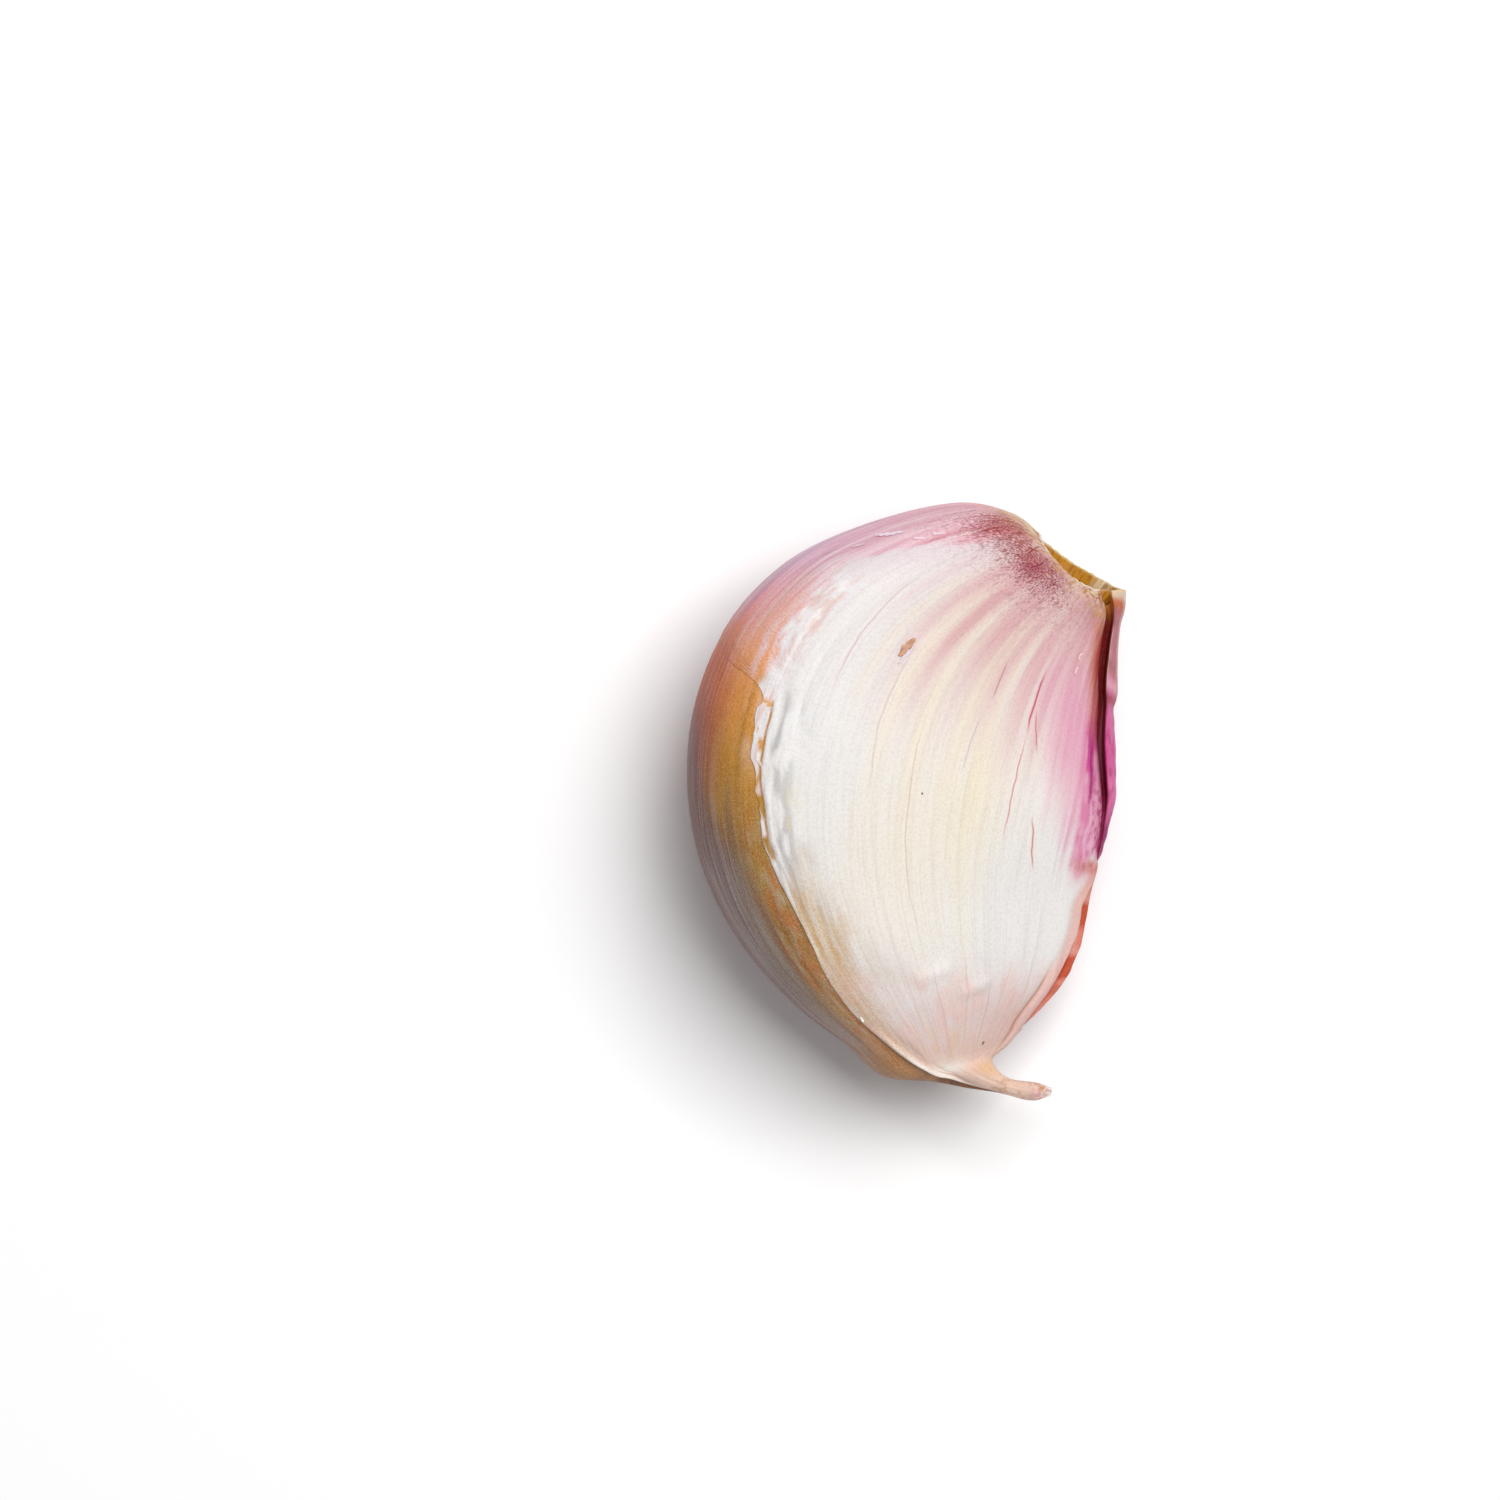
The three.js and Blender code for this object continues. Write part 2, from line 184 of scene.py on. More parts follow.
def scratch(along, around, start, end, width):
    """1 on a short line between two places and 0 away from it. The width is in mm."""
    place = np.stack([np.asarray(along) * MM_ALONG, np.asarray(around) * MM_AROUND], -1)
    start, end = np.array([start, end]) * (MM_ALONG, MM_AROUND)
    step = end - start
    share = np.clip(((place - start) @ step) / (step @ step), 0, 1)
    away = np.linalg.norm(place - start - share[..., None] * step, axis=-1)
    return np.exp(-((away / width) ** 2))


# ---------------------------------------------------------------- the clove's shape
section_knots = np.concatenate([SECTION[-4:-1, 0] - 1, SECTION[:, 0], SECTION[1:4, 0] + 1])
section_values = np.concatenate([SECTION[-4:-1, 1:], SECTION[:, 1:], SECTION[1:4, 1:]])
TAIL_STARTS, TAIL_ROUND = 0.74, 0.9
RIM_DIP_TOP = 1.04 * MM
RIM_DIP_UNDER = 0.12 * MM
SCOOP_FADES = 0.1


def section_place(around):
    """How far across and how high a place in the section lies."""
    return np.moveaxis(curve(section_knots, section_values, np.mod(around, 1)), -1, 0)


def smooth_skin(along, around):
    """Places on the clove's skin, before its relief."""
    along = np.clip(along, 0, 1)
    station = curve(STATION_KNOTS, STATIONS, along)
    angle = 2 * np.pi * np.mod(around, 1)
    roundness = ease(TAIL_STARTS, TAIL_ROUND, along)
    across, high = section_place(around)
    across = across * (1 - roundness) + (1 + np.cos(angle)) / 2 * roundness
    high = high * (1 - roundness) + (1 + np.sin(angle)) / 2 * roundness
    swell = reading(TAIL_SWELL, along)
    across, high = 0.5 + (across - 0.5) * swell, 0.5 + (high - 0.5) * swell
    x = station[..., 0] + (station[..., 2] - station[..., 0]) * across
    y = station[..., 1] + (station[..., 3] - station[..., 1]) * across
    z = station[..., 5] + station[..., 4] * high
    return np.stack([x * LENGTH, y * LENGTH, z * THICKNESS - REST_CUT], -1)


def normals(shape, along, around):
    """Outward directions of a shape given as a function of along and around."""
    step = 0.003
    forward = shape(np.minimum(along + step, 1), around) - shape(np.maximum(along - step, 0), around)
    sideways = shape(along, around + step) - shape(along, around - step)
    out = np.cross(sideways, forward)
    return out / np.maximum(np.linalg.norm(out, axis=-1, keepdims=True), 1e-12)


def raised(places, along, around, lift):
    """Places moved outwards from the clove, in metres."""
    return places + normals(smooth_skin, along, around) * np.asarray(lift)[..., None]


def relief(along, around):
    """How far the skin stands off its smooth shape, in metres: soft lumps, lengthwise ribs and creases."""
    fade = band(0.0, 0.06, 0.8, 0.95, along)
    lumps = noise(5, along, around, 5, 7) * 0.06 + noise(6, along, around, 12, 17) * 0.022
    ribs = noise(3, along, around, 4, 46) * 0.02 + noise(4, along, around, 7, 120) * 0.008
    tail = noise(7, along, around, 14, 16) * 0.045 + noise(8, along, around, 24, 34) * 0.02
    tail = ease(0.72, 0.84, along) * tail
    back = band(0.4, 0.43, 0.6, 0.7, around)
    crease = scratch(along, around, (0.326, 0.482), (0.338, 0.468), 0.07)
    crease = np.maximum(crease, scratch(along, around, (0.338, 0.468), (0.331, 0.452), 0.07))
    crease = crease + 0.7 * scratch(along, around, (0.3, 0.462), (0.45, 0.436), 0.05)
    wrinkles = folds(9, along, around, 12, 90) * 0.016 + folds(10, along, around, 26, 150) * 0.008
    return ((lumps + ribs) * fade + tail - crease * back * 0.05 + wrinkles * back * fade) * MM


def span(along):
    """How wide the clove is in plan, from its back to its keel, in mm."""
    station = curve(STATION_KNOTS, STATIONS, np.clip(along, 0, 1))
    return np.linalg.norm(station[..., 2:4] - station[..., 0:2], axis=-1) * LENGTH / MM


def keel_edge(along):
    """Where the leaf's edge at the keel lies: around the keel's top, and just under the keel at the tail."""
    inwards = reading(KEEL_EDGE, along)
    top = SECTION[SECTION[:, 0] <= 0.36]
    return np.interp(-(1 - inwards / span(along)), -top[:, 1], top[:, 0]) - 0.04 * ease(0.7, 0.84, along)


def keel_distance(along, around):
    """How far a place lies inwards from the keel, in mm: more than 0 on top, less than 0 underneath."""
    near = np.mod(np.asarray(around) + 0.5, 1) - 0.5
    return (1 - section_place(around)[0]) * span(along) * np.sign(near)


def keel_shape(along, around):
    """How far the fin and the groove move the skin, upwards and out across the keel, in metres."""
    inwards = keel_distance(along, around)
    width, high, push = np.moveaxis(reading(FIN_SIZE, along), -1, 0)
    at = np.where(inwards > 0, inwards / width, inwards)
    rise = np.interp(at, FIN[:, 0], FIN[:, 1]) * high
    rise = np.where(rise < 0, rise * (1 - 0.85 * ease(0.29, 0.37, along)), rise)
    rough = 1 + 0.1 * noise(31, along, around, 60, 12)
    push = (push + 0.03 * noise(32, along, 0.5, 70, 4)) * ease(-1.2, -0.4, inwards) * ease(0.5, 0.32, at)
    edge = reading(KEEL_EDGE, along)
    lower = band(0.45, 0.5, 0.68, 0.73, along)
    ledge = band(-0.9, -0.2, edge - 0.1, edge - 0.02, inwards)
    ledge = lower * (0.16 * hump(0.03, 0.08, inwards) - 0.26 * ledge)
    return (rise * rough + ledge) * MM, push * MM * (1 - ease(0.43, 0.47, along) * (1 - lower))


def skin(along, around):
    """Places on the clove's skin with its relief, before the root end is scooped."""
    around = np.mod(around, 1)
    places = raised(smooth_skin(along, around), along, around, relief(along, around))
    station = curve(STATION_KNOTS, STATIONS, np.clip(along, 0, 1))
    across = station[..., 2:4] - station[..., 0:2]
    across = across / np.linalg.norm(across, axis=-1, keepdims=True)
    rise, push = keel_shape(along, around)
    return places + np.concatenate([across * push[..., None], rise[..., None]], -1)


root_chord = STATIONS[0, 2:4] - STATIONS[0, 0:2]
root_inwards = np.array([root_chord[1], -root_chord[0], 0]) / np.linalg.norm(root_chord)


def scooped(along, around):
    """The skin with its root end scooped inwards, more on top, so that the scar shows from above."""
    across, high = section_place(around)
    depth = RIM_DIP_UNDER + (RIM_DIP_TOP - RIM_DIP_UNDER) * ease(0.1, 0.7, high)
    depth = depth * np.sin(np.pi * np.clip(across, 0, 1)) ** (1 - 0.45 * ease(0.3, 0.8, high))
    ragged = 0.04 * MM * noise(33, 0, around, 4, 60) + 0.025 * MM * noise(34, 0, around, 4, 140)
    depth = (depth + ragged) * ease(SCOOP_FADES, 0, along)
    return skin(along, around) + root_inwards * depth[..., None]


def rested(places):
    """Nothing reaches under the surface that the clove lies on."""
    places = places.copy()
    places[..., 2] = np.maximum(places[..., 2], 0)
    return places


# ---------------------------------------------------------------- modelling
def deselect_all():
    for piece in list(bpy.context.selected_objects):
        piece.select_set(False)
    bpy.context.view_layer.objects.active = None


def apply_modifier(piece, kind, **settings):
    """Adds a modifier to a piece and applies it."""
    modifier = piece.modifiers.new(kind.title(), kind)
    for name, value in settings.items():
        setattr(modifier, name, value)
    deselect_all()
    piece.select_set(True)
    bpy.context.view_layer.objects.active = piece
    bpy.ops.object.modifier_apply(modifier=modifier.name)


def select_corners(edit, chosen):
    """Selects some corners of a mesh in edit mode, and the edges between them."""
    for part in (*edit.verts, *edit.edges, *edit.faces):
        part.select = False
    for corner in chosen:
        corner.select = True
    edit.select_flush(True)


def ringed(name, rings, along, around):
    """A filled circle, extruded once for each ring, whose corners then move to their places."""
    deselect_all()
    count = len(rings[0])
    bpy.ops.mesh.primitive_circle_add(vertices=count, radius=MM, fill_type="TRIFAN")
    piece = bpy.context.active_object
    piece.name = piece.data.name = name
    bpy.ops.object.mode_set(mode="EDIT")
    bpy.ops.mesh.select_mode(type="VERT")
    edit = bmesh.from_edit_mesh(piece.data)
    lie = edit.verts.layers.float_vector.new("lie")
    corners = sorted(edit.verts, key=lambda v: (v.co.length > MM / 2, v.index))
    centre, ring = corners[0], corners[1:]
    select_corners(edit, ring)
    centre.co = np.mean(rings[0], axis=0)
    centre[lie] = (1, 0, along[0])
    for i, places in enumerate(rings):
        if i:
            bpy.ops.mesh.extrude_edges_move()
            edit = bmesh.from_edit_mesh(piece.data)
            edit.verts.ensure_lookup_table()
            lie = edit.verts.layers.float_vector["lie"]
            ring = edit.verts[-count:]
        for corner, at, turn in zip(ring, places, 2 * np.pi * around):
            corner.co = at
            corner[lie] = (math.cos(turn), math.sin(turn), along[i])
    bpy.ops.mesh.merge(type="CENTER")
    bpy.ops.mesh.select_all(action="SELECT")
    bpy.ops.mesh.normals_make_consistent(inside=False)
    bpy.ops.object.mode_set(mode="OBJECT")
    return piece


def coordinates(mesh):
    places = np.empty(len(mesh.vertices) * 3)
    mesh.vertices.foreach_get("co", places)
    return places.reshape(-1, 3)


def move_to(mesh, places):
    mesh.vertices.foreach_set("co", np.asarray(places, np.float32).ravel())
    mesh.update()


def stamp(mesh, along, around):
    """Keeps where each corner lies along and around the clove, so that finer meshes know it too."""
    turns = 2 * np.pi * np.asarray(around)
    values = np.stack([np.cos(turns), np.sin(turns), np.asarray(along)], -1)
    lie = mesh.attributes.new("lie", "FLOAT_VECTOR", "POINT")
    lie.data.foreach_set("vector", values.astype(np.float32).ravel())


def read_lie(mesh):
    """Where each corner lies, along and around."""
    values = np.empty(len(mesh.vertices) * 3, np.float32)
    mesh.attributes["lie"].data.foreach_get("vector", values)
    x, y, along = values.reshape(-1, 3).T.astype(float)
    return along, np.mod(np.arctan2(y, x) / (2 * np.pi), 1)


def lay_uv(mesh, along, around):
    """The piece's own UV map: U once round the section, V along the clove."""
    layer = mesh.uv_layers.new(name="skin")
    corners = np.empty(len(mesh.loops), np.int32)
    mesh.loops.foreach_get("vertex_index", corners)
    starts = np.empty(len(mesh.polygons), np.int32)
    mesh.polygons.foreach_get("loop_start", starts)
    sizes = np.diff(np.append(starts, len(corners)))
    u, v = np.mod(around, 1)[corners], along[corners]
    high = np.repeat(np.maximum.reduceat(u, starts), sizes)
    u = np.where(high - u > 0.5, u + 1, u)
    layer.data.foreach_set("uv", np.stack([u, v], -1).astype(np.float32).ravel())


def keep_zone(mesh, name, values):
    """A painted zone: a number from 0 to 1 at each corner."""
    zone = mesh.attributes.new(name, "FLOAT", "POINT")
    zone.data.foreach_set("value", np.clip(values, 0, 1).astype(np.float32))


def sheet(name, columns, rows, shape, thickness):
    """A thin sheet: a grid whose corners move to where shape puts two shares, across it and along it."""
    deselect_all()
    bpy.ops.mesh.primitive_grid_add(x_subdivisions=columns, y_subdivisions=rows, size=1)
    piece = bpy.context.active_object
    piece.name = piece.data.name = name
    flat = coordinates(piece.data)
    places, along, around = shape(flat[:, 0] + 0.5, flat[:, 1] + 0.5)
    move_to(piece.data, places)
    stamp(piece.data, along, around)
    lay_uv(piece.data, along, around)
    apply_modifier(piece, "SOLIDIFY", thickness=thickness, offset=1)
    return piece


def joined(name, pieces):
    """Several small pieces as one."""
    deselect_all()
    for piece in pieces:
        piece.select_set(True)
    bpy.context.view_layer.objects.active = pieces[0]
    bpy.ops.object.join()
    pieces[0].name = pieces[0].data.name = name
    return pieces[0]


def finish_piece(piece, material, slot, *replaced):
    """Smooths a piece, gives it its material, hangs it from the root body and hides the parts it replaces.
    The slot is not used.
    """
    deselect_all()
    piece.select_set(True)
    bpy.context.view_layer.objects.active = piece
    bpy.ops.object.shade_smooth()
    piece.data.materials.clear()
    piece.data.materials.append(material)
    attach(piece, "root")
    if replaced:
        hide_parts(*replaced)


# ---------------------------------------------------------------- the clove
RIM_WALL = 0.16 * MM
SCAR_DEPTH = 1.6 * MM
# The rings of the scar: share of the opening, share of its depth, and the place "along" that they are given.
SCAR = ((0.1, 0.85, -0.1), (0.4, 0.95, -0.08), (0.7, 1.0, -0.06), (0.9, 0.85, -0.045), (0.96, 0.55, -0.03),
        (0.985, 0.25, -0.015), (1.0, 0.05, -0.006))
RIM_COUNT = 96
rim = skin(np.zeros(RIM_COUNT), np.linspace(0, 1, RIM_COUNT, endpoint=False))
root_middle = rim.mean(0)


def scar_ring(turns, share, depth):
    """A ring inside the rim, which keeps a share of the opening and lies so deep."""
    ring = scooped(np.zeros(len(turns)), turns)
    return root_middle + (ring - root_middle) * share + root_inwards * depth


def spread(*parts):
    """Evenly spaced places in parts of a line: where each part starts and ends, and how many it holds."""
    return np.concatenate([np.linspace(start, end, count, endpoint=False) for start, end, count in parts])


def make_clove():
    """The clove as rings, from the middle of its scar over the rim to the tip of the tail, made finer."""
    turns = spread((0, 0.06, 18), (0.06, 0.14, 7), (0.14, 0.36, 9), (0.36, 0.62, 20), (0.62, 0.96, 14),
                   (0.96, 1, 4))
    lengths = np.append(spread((0, 0.06, 6), (0.06, 0.72, 38), (0.72, 1, 21)), 1)
    opening = np.linalg.norm(rim[0] - rim[RIM_COUNT // 2]) / 2
    lip = 1 - RIM_WALL / opening
    rings = [scar_ring(turns, lip * share, SCAR_DEPTH * depth) for share, depth, _ in SCAR]
    rings += [rested(scooped(np.full(len(turns), along), turns)) for along in lengths]
    along = np.concatenate([[place for *_, place in SCAR], lengths])
    clove = ringed("clove", rings, along, turns)
    apply_modifier(clove, "SUBSURF", levels=2, render_levels=2)
    along, around = read_lie(clove.data)
    places = coordinates(clove.data)
    outside = along >= 0
    places[outside] = rested(scooped(along[outside], around[outside]))
    move_to(clove.data, places)
    lay_uv(clove.data, along, around)
    return clove


# ---------------------------------------------------------------- the papery leaf
LEAF_LIFT = 0.07 * MM
LEAF_SHEET = 0.03 * MM
EDGE_LIFT = 0.015 * MM


def torn_edge(along):
    """Where the leaf's torn edge lies."""
    ragged = 0.0024 * noise(41, along, 0.5, 90, 4) + 0.0016 * noise(42, along, 0.5, 240, 4)
    ragged = ragged * ease(0.3, 0.33, along) * (1 - 0.75 * ease(0.47, 0.5, along)) * ease(0.66, 0.6, along)
    return reading(TORN_EDGE, along) + ragged


def sheet_edge(along):
    """Where the whole sheet ends and thin film begins: at the torn edge itself, or a little inside it."""
    ragged = 0.0007 * noise(46, along, 0.5, 130, 4) * ease(0.33, 0.36, along)
    whole = reading(SHEET_EDGE, along) + ragged + ease(0.485, 0.5, along)
    return np.minimum(whole, torn_edge(along))


def leaf_relief(along, around):
    """How far the leaf stands off the skin, in mm: its crumpled border, rolled lip, hem and soft dents."""
    from_torn = torn_edge(along) - around
    from_sheet = sheet_edge(along) - around
    # the sheet's crumpled border, its bright rim, the narrow split beside it and the film beyond
    upper = band(0.27, 0.32, 0.5, 0.58, along) * (1 - 0.9 * hump(0.345, 0.012, along))
    border = band(-0.004, 0.004, 0.004, 0.055, from_sheet)
    crumples = folds(43, along, around, 24, 110) * 0.085 + folds(44, along, around, 46, 190) * 0.03
    total = upper * border * crumples
    rim = ease(0.34, 0.36, along) * (1 - 0.6 * ease(0.46, 0.52, along)) * ease(0.72, 0.66, along)
    rim = rim * (1 - 0.6 * ease(0.48, 0.54, along)) * (0.75 + 0.5 * noise(49, along, 0.5, 70, 4))
    total = total + rim * 0.045 * hump(0.0035, 0.0024, from_sheet)
    inner = band(0.43, 0.45, 0.49, 0.52, along)
    total = total + inner * 0.035 * hump(0.013, 0.002, from_sheet)
    split = band(0.345, 0.355, 0.46, 0.48, along)
    total = total - split * 0.06 * hump(-0.0024, 0.0016, from_sheet)
    film = band(0.25, 0.28, 0.47, 0.49, along) * ease(0.0, -0.004, from_sheet)
    film = film * ease(0.034, 0.024, -from_sheet)
    lumps = 0.03 * noise(47, along, around, 46, 110) + 0.022 * noise(48, along, around, 110, 260)
    total = total + film * lumps * (1 + 0.8 * ease(0.36, 0.33, along))
    # the rolled lip at the tail
    lip = band(0.64, 0.73, 0.76, 0.88, along)
    total = total + lip * (0.3 * hump(0.007, 0.0085, from_torn) - 0.07 * hump(0.034, 0.012, from_torn))
    total = total + 0.07 * scratch(along, around, (0.735, 0.318), (0.8, 0.305), 0.4)
    # the hem beside the keel
    from_keel = keel_distance(along, around) - reading(KEEL_EDGE, along)
    hem = band(0.56, 0.62, 0.72, 0.78, along)
    total = total + hem * (0.15 * hump(0.24, 0.17, from_keel) - 0.07 * hump(0.54, 0.1, from_keel))
    lower_edge = band(0.44, 0.5, 0.68, 0.72, along)
    total = total + lower_edge * 0.12 * ease(0.3, 0, from_keel)
    for start, end, high, width in LEAF_DENTS:
        total = total + high * scratch(along, around, start, end, width)
    return total


LEAF_DENTS = (
    # start and end as along and around, height in mm, width in mm
    ((0.599, 0.266), (0.585, 0.224), 0.11, 0.42),
    ((0.6215, 0.2), (0.606, 0.16), 0.1, 0.4),
    ((0.613, 0.29), (0.603, 0.235), -0.03, 0.5),
    ((0.637, 0.21), (0.625, 0.17), -0.03, 0.5),
    ((0.38, 0.382), (0.3875, 0.3595), -0.06, 0.07),
    ((0.3713, 0.37), (0.375, 0.3585), -0.06, 0.06),
    ((0.4605, 0.3705), (0.4655, 0.36), 0.05, 0.08),
    ((0.474, 0.389), (0.4745, 0.373), 0.04, 0.09),
    ((0.2644, 0.3165), (0.2775, 0.313), -0.07, 0.16),
    ((0.26, 0.3115), (0.2794, 0.3055), 0.06, 0.09),
    # the ridge over the white sheet's border, and the long ridge over the shoulder
    ((0.2919, 0.4075), (0.3425, 0.3945), 0.07, 0.16),
    ((0.3425, 0.3945), (0.3838, 0.397), 0.06, 0.2),
    ((0.21, 0.4095), (0.1044, 0.4055), 0.05, 0.1),
    ((0.21, 0.42), (0.12, 0.418), 0.03, 0.1),
    # two ridges down the back, and a short crooked fold beside the torn edge
    ((0.2781, 0.4525), (0.335, 0.445), 0.04, 0.08),
    ((0.2906, 0.4915), (0.3312, 0.4855), 0.03, 0.08),
    ((0.3431, 0.461), (0.3369, 0.4515), 0.05, 0.06),
    ((0.3369, 0.4515), (0.3325, 0.4465), 0.05, 0.06),
)

row_shares = np.linspace(0, 1, 401)
row_density = 1 + 2.4 * hump(0.345, 0.022, row_shares) + 0.8 * hump(0, 0.07, row_shares)
row_density = np.cumsum(row_density + 0.4 * hump(0.74, 0.1, row_shares) + 0.8 * hump(1, 0.06, row_shares))
row_density = (row_density - row_density[0]) / (row_density[-1] - row_density[0])


def leaf_shape(share_across, share_along):
    """The papery leaf, from its edge at the keel to its torn edge on the back, finer near both."""
    share = share_across - 0.6 * np.sin(2 * np.pi * share_across) / (2 * np.pi)
    along = np.interp(share_along, row_density, row_shares)
    torn = torn_edge(along)
    keel = keel_edge(along) + 0.0008 * noise(45, along, 0.5, 90, 4) * ease(0.8, 0.7, along)
    around = keel + (torn - keel) * share
    low = 1 - 0.6 * band(0.45, 0.5, 0.62, 0.68, along)
    low = low * (1 - 0.5 * ease(0.37, 0.345, along))
    lift = EDGE_LIFT * low + (LEAF_LIFT - EDGE_LIFT) * ease(0.0, 0.05, torn - around)
    lift = np.maximum(lift + leaf_relief(along, around) * MM, 0.008 * MM)
    return raised(scooped(along, around), along, around, lift), along, around


def fleck_shape(along, around, length, width, turn, curl, seed):
    """A small loose flake of skin: where it lies, its size in mm, its turn, how far one end curls up."""
    def shape(share_across, share_along):
        ragged = 1 + 0.45 * noise(seed, share_along, 0.5, 9, 4) * np.sign(share_across - 0.5)
        taper = np.sin(np.pi * np.clip(share_along * 0.92 + 0.04, 0, 1)) ** 0.6
        x = (share_across - 0.5) * width * ragged * taper
        y = (share_along - 0.5) * length
        at = along + (y * math.cos(turn) - x * math.sin(turn)) / MM_ALONG
        round_at = around + (x * math.cos(turn) + y * math.sin(turn)) / MM_AROUND
        lift = 0.115 + curl * np.maximum(share_along * 1.6 - 0.6, 0) ** 2
        lift = lift + np.maximum(leaf_relief(at, round_at), 0)
        return raised(scooped(at, round_at), at, round_at, lift * MM), at, round_at
    return shape


FLECKS = (
    # along, around, length, width, turn, curl, colour
    (0.166, 0.105, 0.55, 0.16, 0.35, 0.03, "#ead2c8"),
    (0.187, 0.102, 0.5, 0.15, 0.05, 0.03, "#ead2c8"),
    (0.1888, 0.458, 1.0, 0.26, 0.8, 0.03, "#ead6e2"),
    (0.1775, 0.426, 0.5, 0.18, 1.05, 0.02, "#ebccd6"),
    (0.1631, 0.422, 0.5, 0.18, 0.9, 0.02, "#ebccd6"),
    (0.2131, 0.461, 0.4, 0.12, 0.55, 0.02, "#e6cddb"),
    (0.645, 0.392, 0.3, 0.2, 0.6, 0.1, "#f4efe8"),
    (0.269, 0.314, 0.85, 0.36, 0.1, 0.0, "#cc9f84"),
    (0.2755, 0.3095, 0.85, 0.15, 0.2, 0.01, "#e0d4da"),
    (0.7225, 0.1355, 0.34, 0.16, 0.4, 0.0, "#8c5a38"),
    (0.395, 0.243, 0.08, 0.07, 0.0, 0.0, "#6c6050"),
)
SKIN_FLAKE = 7  # the brown one, which is mottled


def make_flecks():
    pieces = []
    for i, (*place, colour) in enumerate(FLECKS):
        piece = sheet(f"fleck_{i}", 8, 30, fleck_shape(*place, 60 + 2 * i), 0.03 * MM)
        paint = Paint(piece.data, colour)
        if i == SKIN_FLAKE:
            paint.lay("#a8765c", 0.5 * paint.mottle(155, 160, 300, 0.5, 0.7))
        paint.keep()
        for name in ("dots", "golden", "veined", "fibres", "strands", "speckled"):
            keep_zone(piece.data, name, np.zeros(len(paint.along)))
        pieces.append(piece)
    return joined("loose_flecks", pieces)


# ---------------------------------------------------------------- colours
def tone(code):
    """A linear colour from the usual hex code."""
    parts = [int(code[i:i + 2], 16) / 255 for i in (1, 3, 5)]
    return np.array([c / 12.92 if c <= 0.04045 else ((c + 0.055) / 1.055) ** 2.4 for c in parts])


def shades(stops, at):
    """Colours that change smoothly from one stop to the next: each stop is a place and a hex code."""
    tones = np.array([tone(code) for _, code in stops])
    return np.stack([np.interp(at, [place for place, _ in stops], channel) for channel in tones.T], -1)


class Paint:
    """Colours laid one over another on the corners of a mesh."""

    def __init__(self, mesh, ground):
        self.mesh = mesh
        self.along, self.around = read_lie(mesh)
        self.near = np.mod(self.around + 0.4, 1) - 0.4
        self.tint = np.tile(tone(ground), (len(self.along), 1))

    def lay(self, colour, amount):
        """Lays a colour, given as a hex code or as one colour for each corner."""
        amount = np.clip(amount, 0, 1)[:, None]
        colour = tone(colour) if isinstance(colour, str) else colour
        self.tint = self.tint * (1 - amount) + colour * amount

    def patch(self, along, around, long, wide):
        """A soft round patch."""
        return hump(along, long, self.along) * hump(around, wide, self.near)

    def rib(self, around, width, start, end):
        """A soft rib that runs along the clove and tapers at both ends."""
        wander = 0.005 * noise(round(around * 1000), self.along, 0.5, 6, 4)
        long = end - start
        ends = ease(start, start + 0.25 * long, self.along) * ease(end, start + 0.5 * long, self.along)
        return ends * hump(around + wander, width, self.near)

    def mottle(self, seed, per_length, per_turn, low=0.0, high=0.0, drift=0.0):
        """Random spots, or streaks where few fit along and many round, eased from low to high."""
        around = self.around + drift * self.along
        fine = noise(seed + 1, self.along, around, per_length * 2, per_turn * 2)
        spots = 0.5 + 0.38 * noise(seed, self.along, around, per_length, per_turn) + 0.2 * fine
        return ease(low, high, spots) if high else spots

    def keep(self):
        layer = self.mesh.attributes.new("tint", "FLOAT_COLOR", "POINT")
        values = np.concatenate([np.clip(self.tint, 0, 1), np.ones((len(self.tint), 1))], -1)
        layer.data.foreach_set("color", values.astype(np.float32).ravel())


# Down the back beside the leaf, and farther out where it turns under: along, colour.
BACK_INNER = (
    (0.16, "#e8c0c8"), (0.24, "#e8c4d0"), (0.285, "#eab0a8"), (0.325, "#eca26c"), (0.355, "#e09a4c"),
    (0.41, "#c48c34"), (0.47, "#aa7f38"), (0.5, "#a88648"), (0.54, "#a0783c"), (0.6, "#ac8858"),
    (0.65, "#bc9468"), (0.7, "#d0a080"), (0.76, "#ccac94"),
)
BACK_OUTER = (
    (0.08, "#e6b0b2"), (0.16, "#ecbcc8"), (0.24, "#f2cce2"), (0.28, "#f0a6ae"), (0.315, "#e08464"),
    (0.345, "#c4541c"), (0.385, "#a04418"), (0.42, "#8c4a38"), (0.47, "#7c5850"), (0.5, "#88706a"),
    (0.56, "#968682"), (0.6, "#94827a"), (0.66, "#a48c80"), (0.72, "#b49c90"),
)


